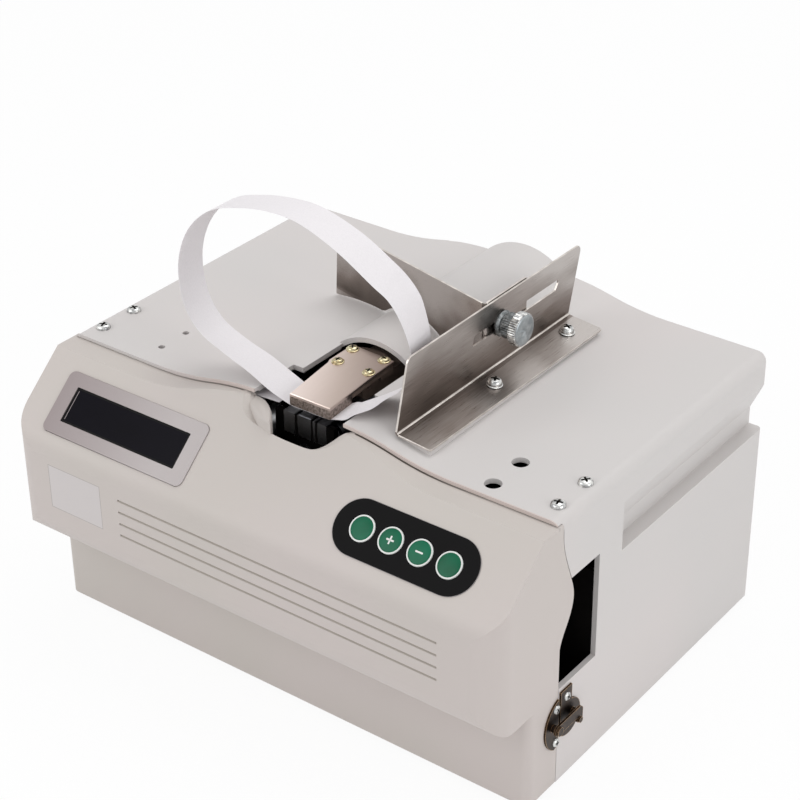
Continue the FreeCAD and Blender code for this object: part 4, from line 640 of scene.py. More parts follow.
def mesh_from(verts, faces, smooth_to, marks):
    """A mesh whose edges stay sharp where they turn by more than so many degrees."""
    mesh = bpy.data.meshes.new("form")
    mesh.from_pydata([tuple(v) for v in verts], [], faces)
    mesh.polygons.foreach_set("material_index", marks)
    grid = bmesh.new()
    grid.from_mesh(mesh)
    bmesh.ops.remove_doubles(grid, verts=grid.verts, dist=1e-7)
    bmesh.ops.recalc_face_normals(grid, faces=grid.faces)
    grid.to_mesh(mesh)
    grid.free()
    mesh.shade_smooth()
    mesh.set_sharp_from_angle(angle=math.radians(smooth_to))
    return mesh


def swept(sections, closed=False, smooth_to=SMOOTH_TO, marked=()):
    """Joins cross sections, each a ring of the same number of points, and caps open ends.

    Faces that start at a ring point listed in `marked` get the second finish."""
    count, size = len(sections), len(sections[0])
    faces, marks = [], []
    for i in range(count if closed else count - 1):
        a, b = i * size, (i + 1) % count * size
        faces += [(a + k, a + (k + 1) % size, b + (k + 1) % size, b + k) for k in range(size)]
        marks += [int(k in marked) for k in range(size)]
    if not closed:
        faces += [tuple(range(size))[::-1], tuple(range((count - 1) * size, count * size))]
        marks += [0, 0]
    return mesh_from([point for section in sections for point in section], faces, smooth_to, marks)


def turned(profile, sides=32):
    """Spins a profile of (radius, height) round Z. A radius of 0 closes the form."""
    turns = [(math.cos(2 * math.pi * i / sides), math.sin(2 * math.pi * i / sides)) for i in range(sides)]
    return swept([[(max(r, ALMOST_ZERO) * x, max(r, ALMOST_ZERO) * y, z) for x, y in turns]
                  for r, z in profile])


print("a turned cone has", len(turned([(1.0, 0.0), (0.0, 2.0)]).polygons), "faces")

# %% [markdown]
# ## Cutting, moving and gathering
# A boolean can stay on an object as a modifier, but then every copy of a screw would be cut again. Here
# the cut is made once, by objects that are in the scene only for that moment. Copies of the result are
# then gathered into one mesh, each with a matrix that says where it goes.

# %% Cut, moved and gathered meshes
def put_in_scene(mesh, name):
    thing = bpy.data.objects.new(name, mesh)
    bpy.context.scene.collection.objects.link(thing)
    return thing


def cut_away(mesh, cutters):
    """The mesh less each cutter, by boolean modifiers that are applied at once."""
    blank = put_in_scene(mesh, "blank")
    tools = [put_in_scene(cutter, "cutter") for cutter in cutters]
    for tool in tools:
        step = blank.modifiers.new("cut", "BOOLEAN")
        step.operation, step.object, step.solver = "DIFFERENCE", tool, "EXACT"
    view = bpy.context.evaluated_depsgraph_get()
    result = bpy.data.meshes.new_from_object(blank.evaluated_get(view))
    for thing in [blank] + tools:
        bpy.data.objects.remove(thing)
    result.shade_smooth()
    result.set_sharp_from_angle(angle=math.radians(SMOOTH_TO))
    return result


def moved(mesh, place):
    """The mesh itself, moved by a matrix."""
    mesh.transform(place)
    return mesh


def gathered(copies):
    """One mesh out of copies, given as (mesh, matrix) pairs."""
    grid = bmesh.new()
    for mesh, place in copies:
        part = mesh.copy()
        part.transform(place)
        grid.from_mesh(part)
        bpy.data.meshes.remove(part)
    result = bpy.data.meshes.new("gathered")
    grid.to_mesh(result)
    grid.free()
    return result


# %% [markdown]
# ## Dressing a body
# Each piece rides on a body of the CAD model, so it moves with that body when a joint turns. Its slot says
# what the real part is made of. Where it stands for CAD solids, they are hidden and it is shown instead.

# %% Dress
def dress(name, mesh, slot, body, stands_for=(), finish=None, edge=None):
    """Puts a mesh in the scene as a piece that rides on a body and may stand for CAD solids.

    It takes the slot's finish, or another one, and its marked faces take the edge finish."""
    marks = [face.material_index for face in mesh.polygons]
    mesh.materials.clear()
    mesh.materials.append(FINISHES[finish or slot])
    if edge:
        mesh.materials.append(FINISHES[edge])
    mesh.polygons.foreach_set("material_index", marks if edge else [0] * len(marks))
    piece = put_in_scene(mesh, name)
    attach(piece, body)
    if stands_for:
        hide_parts(*stands_for)
    return piece


print("slots:", ", ".join(sorted(set(SLOT_OF.values()))))

# %% [markdown]
# ## Outlines
# A part of sheet metal begins as a flat drawing: a polygon whose corners are rounded by arcs. An inset
# moves every side of an outline inward by the same amount, which is what a slanted rim needs.

# %% Rounded outlines
# At a very sharp corner an inset point stops at 1 / 0.4 times the inset.
MITRE_LIMIT = 0.4


def rounded(corners, radius, steps=6):
    """A convex polygon, anticlockwise, with arcs at its corners: one radius, or one for each."""
    points = []
    for i, corner in enumerate(corners):
        here = Vector(corner)
        before = (Vector(corners[i - 1]) - here).normalized()
        after = (Vector(corners[(i + 1) % len(corners)]) - here).normalized()
        size = radius[i] if isinstance(radius, (list, tuple)) else radius
        half = before.angle(after) / 2
        centre = here + (before + after).normalized() * size / math.sin(half)
        spoke = here + before * size / math.tan(half) - centre
        for k in range(steps + 1):
            turn = (math.pi - 2 * half) * k / steps
            points.append((centre.x + spoke.x * math.cos(turn) - spoke.y * math.sin(turn),
                           centre.y + spoke.x * math.sin(turn) + spoke.y * math.cos(turn)))
    return points


def box_outline(width, height, radius, steps=6):
    w, h = width / 2, height / 2
    return rounded([(w, -h), (w, h), (-w, h), (-w, -h)], radius, steps)


def disc_outline(radius, count):
    """A circle whose points start where those of a box outline do, an eighth of a turn back."""
    angles = [2 * math.pi * (i / count - 0.125) for i in range(count)]
    return [(radius * math.cos(a), radius * math.sin(a)) for a in angles]


def inset(outline, by):
    """The outline moved inward, or outward where `by` is negative."""
    result = []
    for i, point in enumerate(outline):
        here = Vector(point)
        before = (here - Vector(outline[i - 1])).normalized()
        after = (Vector(outline[(i + 1) % len(outline)]) - here).normalized()
        inward = Vector((-before.y - after.y, before.x + after.x)).normalized()
        share = max(inward.dot(Vector((-before.y, before.x))), MITRE_LIMIT)
        result.append(tuple(here + inward * (by / share)))
    return result


print("a box outline with round corners:", len(box_outline(40, 20, 4)), "points")

# %% [markdown]
# ## Plates and bands
# A plate is an outline with a thickness. Its rims are broken by a narrow slant, because no real edge is
# perfectly sharp and the slant is what catches the light. A plate with an opening is a band between two
# outlines that have the same number of corners.

# %% Plates and bands
def at_height(outline, z):
    return [(x, y, z) for x, y in outline]


def plate(outline, low, high, soft):
    """A plate whose rims, above and below, are slanted; every side face is marked."""
    slim = inset(outline, soft)
    rings = [at_height(slim, low), at_height(outline, low + soft), at_height(outline, high - soft),
             at_height(slim, high)]
    return swept(rings, marked=range(len(outline)))


def band(outer, inner, low, high, soft):
    """A plate between two outlines; its rims are slanted and its side faces marked."""
    slim, wide = inset(outer, soft), inset(inner, -soft)
    rings = [at_height(slim, low), at_height(outer, low + soft), at_height(outer, high - soft),
             at_height(slim, high), at_height(wide, high), at_height(inner, high - soft),
             at_height(inner, low + soft), at_height(wide, low)]
    sections = [[ring[i] for ring in rings] for i in range(len(outer))]
    return swept(sections, closed=True, marked=(0, 1, 2, 4, 5, 6))


def axes(u, v, w, origin):
    """A drawing board: columns say where its three directions point, in millimetres."""
    board = Matrix((u, v, w)).transposed().to_4x4()
    return Matrix.Translation(Vector(origin) * MM) @ board @ Matrix.Scale(MM, 4)


print("a plate with round corners:", len(plate(box_outline(40, 20, 4), 0, 1.2, 0.2).polygons), "faces")

# %% [markdown]
# ## The standing tape loop
# The paper tape leaves the head on the left, stands up as a hoop and comes back under the tongue. It is
# 20 mm wide and about a sixth of a millimetre thick. Cloth simulation would make it fall over, because
# paper is held up by its own stiffness, so the strip is built from stations along its two edges. Each
# edge runs through them smoothly. The right limb twists as it comes down, which is why both edges are given.

# %% Tape loop
# For each station x, y, z of the near edge and of the far edge, in millimetres.
LOOP_STATIONS = [
    (2.0, -74.6, 174.0, 2.0, -54.6, 174.0), (15.5, -74.6, 174.3, 15.2, -54.7, 174.3),
    (21.4, -74.6, 175.8, 20.8, -54.9, 176.8), (27.7, -74.3, 177.8, 23.6, -55.0, 177.6),
    (32.4, -71.8, 181.3, 24.6, -54.0, 178.0), (38.8, -65.6, 184.2, 27.8, -49.4, 179.0),
    (43.0, -59.8, 188.3, 32.5, -44.0, 181.0), (48.7, -54.4, 193.1, 41.1, -37.1, 186.6),
    (52.6, -50.2, 203.2, 50.1, -30.8, 199.1), (52.4, -49.6, 214.2, 50.6, -30.0, 215.5),
    (52.5, -54.6, 228.8, 51.0, -36.1, 236.2), (50.6, -58.6, 240.3, 49.6, -39.4, 245.7),
    (46.4, -61.2, 248.7, 44.4, -42.2, 254.6), (39.7, -64.6, 256.0, 37.9, -45.8, 262.6),
    (21.5, -68.6, 270.7, 21.7, -48.9, 274.1), (0.0, -70.5, 280.6, -1.0, -50.6, 282.2),
    (-18.0, -72.0, 283.2, -18.6, -52.0, 283.2), (-38.6, -73.3, 280.6, -39.2, -53.3, 280.2),
    (-60.0, -73.9, 273.0, -60.4, -53.9, 272.6), (-76.0, -74.4, 257.0, -76.3, -54.4, 256.9),
    (-84.0, -74.5, 235.0, -84.6, -54.5, 235.1), (-82.0, -74.5, 212.0, -82.6, -54.5, 211.8),
    (-72.0, -74.5, 198.0, -72.4, -54.6, 197.4), (-55.2, -74.5, 190.4, -55.6, -54.6, 189.8),
    (-37.9, -74.5, 184.4, -38.0, -54.5, 184.8), (-23.2, -74.5, 177.9, -22.8, -54.6, 179.0),
    (-9.4, -74.5, 174.1, -9.4, -54.6, 174.1)]
TAPE_SHEET = 0.16 * MM
ACROSS = (0, 0.25, 0.5, 0.75, 1)


def eased(stations, steps, closed=False):
    """Stations joined by Catmull-Rom curves, with so many steps from one to the next."""
    count = len(stations)
    result = []
    for i in range(count if closed else count - 1):
        near = [i - 1, i, i + 1, i + 2]
        near = [k % count if closed else min(max(k, 0), count - 1) for k in near]
        for step in range(steps):
            t = step / steps
            weights = (t * t - (t + t ** 3) / 2, 1 - 2.5 * t * t + 1.5 * t ** 3,
                       t / 2 + 2 * t * t - 1.5 * t ** 3, (t ** 3 - t * t) / 2)
            result.append([sum(w * stations[k][axis] for w, k in zip(weights, near))
                           for axis in range(len(stations[0]))])
    return result if closed else result + [list(stations[-1])]


def tape_strip(stations, steps, closed):
    """A paper strip between two edges, flat across and as thick as the paper, and its length."""
    edges = [(Vector(e[:3]) * MM, Vector(e[3:]) * MM) for e in eased(stations, steps, closed)]
    count = len(edges)
    sections, length = [], 0.0
    for i, (near, far) in enumerate(edges):
        after = edges[(i + 1) % count][0] if closed or i + 1 < count else near
        before = edges[i - 1][0] if closed or i else near
        inward = (after - before).cross(far - near).normalized() * TAPE_SHEET
        across = [near + (far - near) * share for share in ACROSS]
        sections.append(across + [point + inward for point in reversed(across)])
        length += (after - near).length
    return swept(sections, closed, smooth_to=50), length


mesh, loop_length = tape_strip(LOOP_STATIONS, 8, True)
loop = dress("paper_tape_hoop", mesh, "paper_white", "housing", ["paper_tape_loop"])
print(f"tape loop: {1000 * loop_length:.0f} mm of tape, {len(mesh.polygons)} faces")

# %% [markdown]
# ## The strip inside
# Behind the front cover the tape runs from the underside of the reel to the left, turns up, passes between
# the feed rollers and enters the head from the left. It is the same paper, pulled taut, so it is nearly
# straight between its turns. Each turn is an arc, and the same helper makes both of them.

# %% Strip from the reel to the head
def arc_stations(x, z, radius, start, end, steps):
    """Stations on an arc, with the angles in degrees."""
    places = []
    for i in range(steps + 1):
        angle = math.radians(start + (end - start) * i / steps)
        places.append((x + radius * math.cos(angle), z + radius * math.sin(angle)))
    return places


TAPE_NEAR_Y, TAPE_FAR_Y = -74.5, -54.5
spine = ([(95.0, 23.6), (75.0, 23.5), (50.0, 23.3), (25.0, 23.3), (0.0, 23.5)]
         + arc_stations(-18.8, 49.6, 26.0, 270, 180, 8)
         + [(-44.7, 75.0), (-44.5, 100.0), (-44.5, 125.0), (-44.7, 148.0)]
         + arc_stations(-36.8, 163.4, 8.0, 180, 90, 5) + [(-27.0, 172.2), (-17.0, 172.8)])
mesh, feed_length = tape_strip([(x, TAPE_NEAR_Y, z, x, TAPE_FAR_Y, z) for x, z in spine], 6, False)
feed = dress("paper_tape_strip", mesh, "paper_white", "housing", ["paper_tape_feed"])
print(f"feed strip: {1000 * feed_length:.0f} mm of tape, {len(mesh.polygons)} faces")

# %% [markdown]
# ## Screws
# A pan-head screw is a turned dome on a thin flange, with a cross recess that narrows with depth. The
# recess is what catches the eye, so it is really cut: two tapered bars are taken out of the head. Little
# light gets into the recess or under the head, so those faces take the darker of two finishes: painted
# shade.

# %% A pan head
SQUARE = [(-1, -1), (1, -1), (1, 1), (-1, 1)]
# Corners of the dome, as shares of its radius and height, and the recess in the same shares.
CROWN = [(0.98, 0.30), (0.93, 0.56), (0.80, 0.80), (0.60, 0.93), (0.32, 0.99), (0.0, 1.0)]
RECESS_REACH, RECESS_WIDTH, RECESS_DEPTH = 0.66, 0.17, 0.6
# Faces this near the axis and below the first height are in the recess. Lower than the second, they are
# on the underside.
RECESS_EDGE, RECESS_TOP, UNDERSIDE = 0.62, 0.9, 0.02
SHANK_RADIUS, SHANK_LENGTH = 1.5, 4.0


def cross_recess(reach, width, top, depth):
    """Two crossed bars that narrow towards their floor."""
    bars = []
    for turn in (0.0, math.pi / 2):
        sections = [[Vector((x * reach * share, y * width * share, z)) for x, y in SQUARE]
                    for z, share in ((top - depth, 0.55), (top + depth, 1.3))]
        bars.append(swept([[Matrix.Rotation(turn, 3, "Z") @ p for p in ring] for ring in sections]))
    return bars


def pan_head(radius, height, flange=0.0):
    """Head, flange and the start of the shank, in millimetres, standing on Z = 0."""
    foot = [(0.0, -SHANK_LENGTH), (SHANK_RADIUS, -SHANK_LENGTH), (SHANK_RADIUS, 0.0)]
    if flange:
        foot += [(flange, 0.0), (flange, 0.35), (flange - 0.3, 0.55), (radius, 0.6)]
    else:
        foot += [(radius, 0.0)]
    profile = [(r * MM, z * MM) for r, z in foot + [(radius * r, height * z) for r, z in CROWN]]
    recess = cross_recess(radius * RECESS_REACH * MM, radius * RECESS_WIDTH * MM,
                          height * MM, height * RECESS_DEPTH * MM)
    head = cut_away(turned(profile, 28), recess)
    # Painted shade: faces in the recess and on the underside take the darker finish.
    for face in head.polygons:
        out = math.hypot(face.center.x, face.center.y) / (radius * MM)
        up = face.center.z / (height * MM)
        face.material_index = int(up < (RECESS_TOP if out < RECESS_EDGE else UNDERSIDE))
    return head


latch_head = pan_head(2.6, 1.3)
print("the head of a latch screw has", len(latch_head.polygons), "faces")

# %% [markdown]
# ## Screws in their places
# One mesh serves every screw of a kind. A list says where each stands and how far round it was when it came
# tight, because recesses that all point the same way look drawn and not driven.

# %% Screws on the deck, the tongue, the guide and the latch
def screws_at(head, places, axis):
    """One screw per (x, y, z, angle) in millimetres and degrees, all along one axis."""
    turn = Vector((0, 0, 1)).rotation_difference(Vector(axis)).to_matrix().to_4x4()
    return gathered([(head, Matrix.Translation(Vector(place[:3]) * MM) @ turn
                      @ Matrix.Rotation(math.radians(place[3]), 4, "Z")) for place in places])


def fit_screws(name, head, places, axis, body, node=None, slot="zinc_plated"):
    """Screws of one kind as one piece, which may stand for a CAD node."""
    heads = screws_at(head, places, axis)
    dress(name, heads, slot, body, [node] if node else (), edge="recess_dark")
    return len(heads.polygons)


UP, DOWN, LEFT, RIGHT = (0, 0, 1), (0, 0, -1), (-1, 0, 0), (1, 0, 0)
DECK_TILT = math.radians(7.8)
SQUARE_TO_FOOT = (math.sin(DECK_TILT), 0, math.cos(DECK_TILT))
count = fit_screws("deck_screw_heads", pan_head(4.2, 2.6),
                   [(-155, -65.5, 169.5, 20), (-155, -40.5, 169.5, 65), (155, -65.5, 169.5, 10),
                    (155, -40.5, 169.5, 50)], UP, "housing", "deck_screws")
count += fit_screws("tongue_screw_heads", pan_head(3.1, 1.9, 3.7),
                    [(-11.0, -18.7, 182, 35), (-9.0, -34.2, 182, 5), (10.5, -18.5, 182, 70),
                     (12, -34, 182, 15)], UP, "housing", "anvil_screws", "yellow_zinc")
count += fit_screws("guide_screw_heads", pan_head(4.2, 3.9, 4.7),
                    [(68.2, 3.6, 176.6, 25), (67.8, 75.2, 176.7, 60)], SQUARE_TO_FOOT, "housing",
                    "side_guide_screws")
count += fit_screws("latch_screw_heads", latch_head,
                    [(166.2, -78.3, 54.6, 30), (166.2, -78.3, 32.8, 75)], RIGHT, "cover",
                    "latch_plate_screws")
count += fit_screws("keeper_screw_head", latch_head, [(166.2, -68.6, 57.2, 50)], RIGHT, "housing",
                    "latch_keeper_screw")
print("screws:", count, "faces on thirteen heads")

# %% [markdown]
# ## Hinge screws, base screws and feet
# These sides are rarely seen, and they are where a model usually gets thin. Each hinge leaf is held by
# three screws, the steel base by eight. The rubber feet are moulded: a lip round a sunken middle grips
# the table better than a flat pad, and the screw that holds the foot is sunk out of the table's reach.

# %% Left side and underside
HINGE_FACE_X = -166.3
LOWER_HINGE, UPPER_HINGE = 32, 108
BASE_UNDERSIDE = 3.0
FOOT_SUNK = 1.0
small_head = pan_head(2.1, 1.1)
for side, y, body in (("fixed", -64.6, "housing"), ("cover", -86.2, "cover")):
    places = [(HINGE_FACE_X, y, low + rise, 17 * i + start) for low, start in ((LOWER_HINGE, 0),
              (UPPER_HINGE, 40)) for i, rise in enumerate((6, 15, 24))]
    fit_screws(f"hinge_{side}_screws", small_head, places, LEFT, body)
rim = [(-152, -64), (0, -67), (152, -64), (152, 30), (152, 124), (0, 124), (-152, 124), (-152, 30)]
fit_screws("base_screws", pan_head(3.2, 1.8),
           [(x, y, BASE_UNDERSIDE, 20 * i) for i, (x, y) in enumerate(rim)], DOWN, "housing")
foot = turned([(0.0, FOOT_SUNK), (3.2, FOOT_SUNK), (3.4, 0.3), (3.8, 0.0), (7.4, 0.0), (7.9, 0.3),
               (8.1, 0.8), (9.5, BASE_UNDERSIDE), (0.0, BASE_UNDERSIDE)], 40)
spots = [(x, y) for x in (-142, 142) for y in (-56, 112)]
feet = gathered([(foot, Matrix.Scale(MM, 4) @ Matrix.Translation((x, y, 0))) for x, y in spots])
dress("moulded_feet", feet, "rubber_black", "housing", ["rubber_feet"])
fit_screws("foot_screws", pan_head(2.4, 0.7),
           [(x, y, FOOT_SUNK, 30 * i) for i, (x, y) in enumerate(spots)], DOWN, "housing")
print("feet:", len(feet.polygons), "faces")

# %% [markdown]
# ## The control face
# Display and keys lie on a face that slopes by 41 degrees. Drawing them flat and then laying the drawing
# on the slope with one matrix keeps every number simple: x runs along the machine, y up the slope and
# z out of it. A stadium is a rectangle with round ends, and it is the outline of the key panel.

# %% The sloping drawing board
SLOPE_TOP = (0, -92.5, 166.8)
SLOPE_ANGLE = math.radians(41.35)
SLOPE = (Matrix.Translation(Vector(SLOPE_TOP) * MM) @ Matrix.Rotation(SLOPE_ANGLE, 4, "X")
         @ Matrix.Scale(MM, 4))


def on_slope(mesh, x, y, turn=0.0):
    return moved(mesh, SLOPE @ Matrix.Translation((x, y, 0)) @ Matrix.Rotation(turn, 4, "Z"))


print("slope starts at", [round(v, 4) for v in SLOPE.translation])

# %% [markdown]
# ## Keys
# Four green domes stand in a black panel, each inside a white ring. A dome of one low curve catches a single
# soft highlight near its top edge, which is what makes it read as glossy. Two keys carry the plain plus
# and minus signs. The other two stay bare.

# %% Keys and their rings
KEY_X, KEY_Y, KEY_PITCH = 96.55, -28.4, 18.1
KEYS = ["function", "plus", "minus", "reset"]
# The bars of each sign, as turns from the direction in which the keys stand in line.
SIGN_BARS = {"plus": [0.0, math.pi / 2], "minus": [0.0]}


def key_dome():
    return turned([(0.0, -1.0), (6.35, -1.0), (6.4, 0.72), (6.2, 0.86), (5.4, 1.0), (4.2, 1.1),
                   (2.8, 1.17), (1.4, 1.21), (0.0, 1.22)], 48)


def key_ring():
    return turned([(6.42, -1.0), (7.3, -1.0), (7.3, 0.55), (7.15, 0.8), (6.9, 0.88), (6.6, 0.86),
                   (6.42, 0.74), (6.42, -1.0)], 48)


def sign_bar(length, width):
    return plate(box_outline(length, width, width * 0.3, 3), 0.8, 1.27, 0.05)


for i, key in enumerate(KEYS):
    body, x = f"{key}_key", KEY_X + (i - 1.5) * KEY_PITCH
    dress(f"{body}_dome", on_slope(key_dome(), x, KEY_Y), "key_green", body, [f"key_{key}"])
    dress(f"{body}_ring", on_slope(key_ring(), x, KEY_Y), "key_green", body, finish="key_white")
    if key in SIGN_BARS:
        bars = [(on_slope(sign_bar(4.6, 0.95), x, KEY_Y, turn), Matrix()) for turn in SIGN_BARS[key]]
        dress(f"{body}_sign", gathered(bars), "key_green", body, finish="key_white")
print("four keys,", KEY_PITCH, "mm apart")

# %% [markdown]
# ## Key panel and display
# The key panel is one black stadium, let into the face and edged by a hairline of bright trim. The display
# is a sheet of dark glass with a black printed border, in a grey frame with soft corners. The border is a
# separate thin band here, so that its edge stays crisp. A fine bright strip along the glass's left edge is a
# painted highlight.

# %% Panel trim, display glass and border
PANEL_LENGTH, PANEL_WIDTH, PANEL_RADIUS = 88.0, 31.0, 15.4
TRIM_WIDTH = 0.2
trim = band(box_outline(PANEL_LENGTH + 2 * TRIM_WIDTH, PANEL_WIDTH + 2 * TRIM_WIDTH,
                        PANEL_RADIUS + TRIM_WIDTH, 16),
            box_outline(PANEL_LENGTH, PANEL_WIDTH, PANEL_RADIUS, 16), -0.3, 0.5, 0.1)
dress("key_panel_trim", on_slope(trim, KEY_X, KEY_Y), "zinc_plated", "cover", finish="trim_grey")
DISPLAY_X, DISPLAY_Y = -94.7, -28.0
DISPLAY_LENGTH, DISPLAY_WIDTH, BORDER_WIDTH = 83.6, 21.1, 1.1
outline = box_outline(DISPLAY_LENGTH, DISPLAY_WIDTH, 0.5, 3)
glass = plate(outline, -1.4, 0.42, 0.1)
dress("display_glass", on_slope(glass, DISPLAY_X, DISPLAY_Y), "display_black", "cover",
      ["display_window"])
inside = box_outline(DISPLAY_LENGTH - 2 * BORDER_WIDTH, DISPLAY_WIDTH - 2 * BORDER_WIDTH, 0.3, 3)
border = band(outline, inside, 0.3, 0.5, 0.03)
dress("display_border", on_slope(border, DISPLAY_X, DISPLAY_Y), "display_black", "cover",
      finish="border_black")
# Painted highlight: a thin strip of silver finish stands for the glint on the glass's left edge.
EDGE_LINE_WIDTH, EDGE_LINE_LENGTH, EDGE_LINE_X = 0.35, 17.6, DISPLAY_X - 39.9
gleam = plate(box_outline(EDGE_LINE_WIDTH, EDGE_LINE_LENGTH, 0.15, 2), 0.3, 0.52, 0.03)
dress("display_edge_highlight", on_slope(gleam, EDGE_LINE_X, DISPLAY_Y), "display_black", "cover",
      finish="bezel_silver")
print("display glass", DISPLAY_LENGTH, "by", DISPLAY_WIDTH, "mm")

# %% [markdown]
# ## The note guides
# Both guides are bent from 1.2 mm stainless sheet. The faces are ground, with painted reflections that are
# dark near the bend, and the cut edges and the bend take a second finish, a painted highlight. The side
# guide has a long slot with slanted ends, for the thumb screw. Its foot slopes as the deck does, and lies
# on a low moulded pad that makes up the deck's curve.

# %% Side guide
SHEET = 1.2
SIDE_BEND, BACK_BEND = 0.9, 0.6
SIDE_X, SIDE_TOP, SIDE_BEND_Z = 58, 217.8, 178.5348
SIDE_FRONT, SIDE_REAR = -69.6, 92.0
SLOT_LOW, SLOT_HIGH = 198.9, 204.6
SHEET_RIM = 0.16


def deck_level(x):
    """Height of the deck: flat sides, two arcs that meet, and a flat middle."""
    inner, outer, rise, low, high = 24.0, 100.0, 9.0, 169.5, 178.5
    half = (outer - inner) / 2
    radius = (half * half + rise * rise / 4) / rise
    a = min(max(abs(x), inner), outer)
    if a <= inner + half:
        return high - radius + math.sqrt(radius ** 2 - (a - inner) ** 2)
    return low + radius - math.sqrt(radius ** 2 - (outer - a) ** 2)


def bent_sheet(radius, first, last, start, end):
    """The curved part of a bend: an arc from one angle to another, `first` to `last` along Z."""
    angles = [start + (end - start) * k / 8 for k in range(9)]
    arc = ([(radius * math.cos(a), radius * math.sin(a)) for a in angles]
           + [((radius + SHEET) * math.cos(a), (radius + SHEET) * math.sin(a)) for a in reversed(angles)])
    return swept([at_height(arc, z) for z in (first, last)], marked=range(8))


X, Y, Z = Vector((1, 0, 0)), Vector((0, 1, 0)), Vector((0, 0, 1))
across = Vector((math.cos(DECK_TILT), 0, -math.sin(DECK_TILT)))
upward = Vector(SQUARE_TO_FOOT)
bend_middle = Vector((SIDE_X + SIDE_BEND, 0, SIDE_BEND_Z))
upright = band(
    rounded([(SIDE_FRONT, SIDE_BEND_Z), (SIDE_REAR, SIDE_BEND_Z), (103.6, SIDE_TOP), (-59.2, SIDE_TOP)],
            [0.2, 0.2, 3.6, 4.6], 7),
    rounded([(-2.8, SLOT_LOW), (77.2, SLOT_LOW), (82.2, SLOT_HIGH), (-0.8, SLOT_HIGH)],
            [0.9, 0.9, 1.6, 1.6], 7), -SHEET, 0.0, SHEET_RIM)
foot = plate(rounded([(0, SIDE_FRONT), (20.2, -68.6), (21.6, 93.2), (0, SIDE_REAR)],
                     [0.2, 1.8, 1.6, 0.2]), -SHEET, 0.0, SHEET_RIM)
curl = bent_sheet(SIDE_BEND, -SIDE_REAR, -SIDE_FRONT, math.pi, 1.5 * math.pi - DECK_TILT)
guide = gathered([(upright, axes(Y, Z, X, (SIDE_X, 0, 0))),
                  (foot, axes(across, Y, upward, bend_middle - upward * SIDE_BEND)),
                  (curl, axes(X, Z, -Y, bend_middle))])
dress("side_guide_sheet", guide, "stainless", "housing", ["side_guide"], "guide_steel", "bright_edge")
PAD_FRONT, PAD_REAR = -67.4, 90.4
PAD_TOP, PAD_SLOPE, PAD_SUNK = 176.45, 0.137, 0.3
ends = []
for y in (PAD_FRONT, PAD_REAR):
    top = [(x, y, PAD_TOP - PAD_SLOPE * (x - SIDE_X)) for x in (59.4, 64.0, 70.0, 78.0)]
    ends.append(top + [(x, y, deck_level(x) - PAD_SUNK) for x in (78.0, 74.0, 70.0, 66.0, 62.0, 59.4)])
dress("side_guide_pad", moved(swept(ends), Matrix.Scale(MM, 4)), "housing_plastic", "housing")
print("side guide:", len(guide.polygons), "faces")

# %% [markdown]
# ## The back guide
# The back guide squares the far end of the notes. It slides along the side guide's slot, where a small
# flange carries the thumb screw. Its leaf is bent past a right angle, and the lower edge of the leaf
# follows the deck and then the hump with a small gap, so that no note slips under it.

# %% Back guide
LEAF_TURN = math.radians(13.0)
LEAF_TOP, LEAF_LENGTH = 218.2, 127.0
FLANGE_X = 56.5
HUMP_RADIUS, HUMP_MIDDLE = 40.4, 149
DECK_GAP, FLANGE_GAP = 0.9, 0.8
pivot = Vector((FLANGE_X - SHEET - BACK_BEND, 12.8, 0))
along = Vector((-math.cos(LEAF_TURN), math.sin(LEAF_TURN), 0))
behind = Vector((math.sin(LEAF_TURN), math.cos(LEAF_TURN), 0))
front_face = pivot - behind * (BACK_BEND + SHEET)


def leaf_foot(distance):
    """Lower edge of the leaf, clear of the deck and the hump."""
    x = front_face.x + along.x * distance
    hump = HUMP_MIDDLE + math.sqrt(max(HUMP_RADIUS ** 2 - x * x, 0.0))
    return max(deck_level(x) + DECK_GAP, deck_level(68) + FLANGE_GAP, hump)


foot_line = [(s, leaf_foot(s)) for s in [0.0] + [1.0 + 3 * i for i in range(42)] + [LEAF_LENGTH]]
leaf = plate(foot_line + [(LEAF_LENGTH - 2.6, LEAF_TOP - 2.0), (LEAF_LENGTH - 4.6, LEAF_TOP),
                          (0.0, LEAF_TOP)], 0.0, SHEET, SHEET_RIM)
hole = [(y + 24.0, z + 202.0) for y, z in disc_outline(2.2, 28)]
flange = band([(y + 31.8, z + 201.3) for y, z in box_outline(38.0, 34, 1.5)], hole, -SHEET, 0.0,
              SHEET_RIM)
corner = bent_sheet(BACK_BEND, 184.4, LEAF_TOP - 0.1, LEAF_TURN - math.pi / 2, 0.0)
back = gathered([(leaf, axes(along, Z, behind, front_face)), (corner, axes(X, Y, Z, pivot)),
                 (flange, axes(Y, Z, X, (FLANGE_X, 0, 0)))])
dress("back_guide_sheet", back, "stainless", "rear_guide", ["back_guide"], "guide_steel", "bright_edge")
print("leaf stands", round(LEAF_TOP - leaf_foot(LEAF_LENGTH), 1), "mm high at its free end")

# %% [markdown]
# ## The thumb screw
# The clamp screw of the note guide is turned from one bar and zinc plated: a knurled head, a ribbed collar
# and a waist that presses on a washer. A straight knurl is a ring of small teeth, so its cross section is a
# star with many low points. It is swept through a few rings, small at both rims to break the edge.

# %% Thumb screw
RIM_DEPTH = 0.15
SCREW_AT = (SIDE_X, 24, 202)


def toothed_ring(radius, depth, teeth, height):
    """One cross section with so many teeth, at a height on the axis."""
    points = []
    for i in range(teeth * 2):
        r = radius - (depth if i % 2 else 0.0)
        angle = math.pi * i / teeth
        points.append((r * math.cos(angle), r * math.sin(angle), height))
    return points


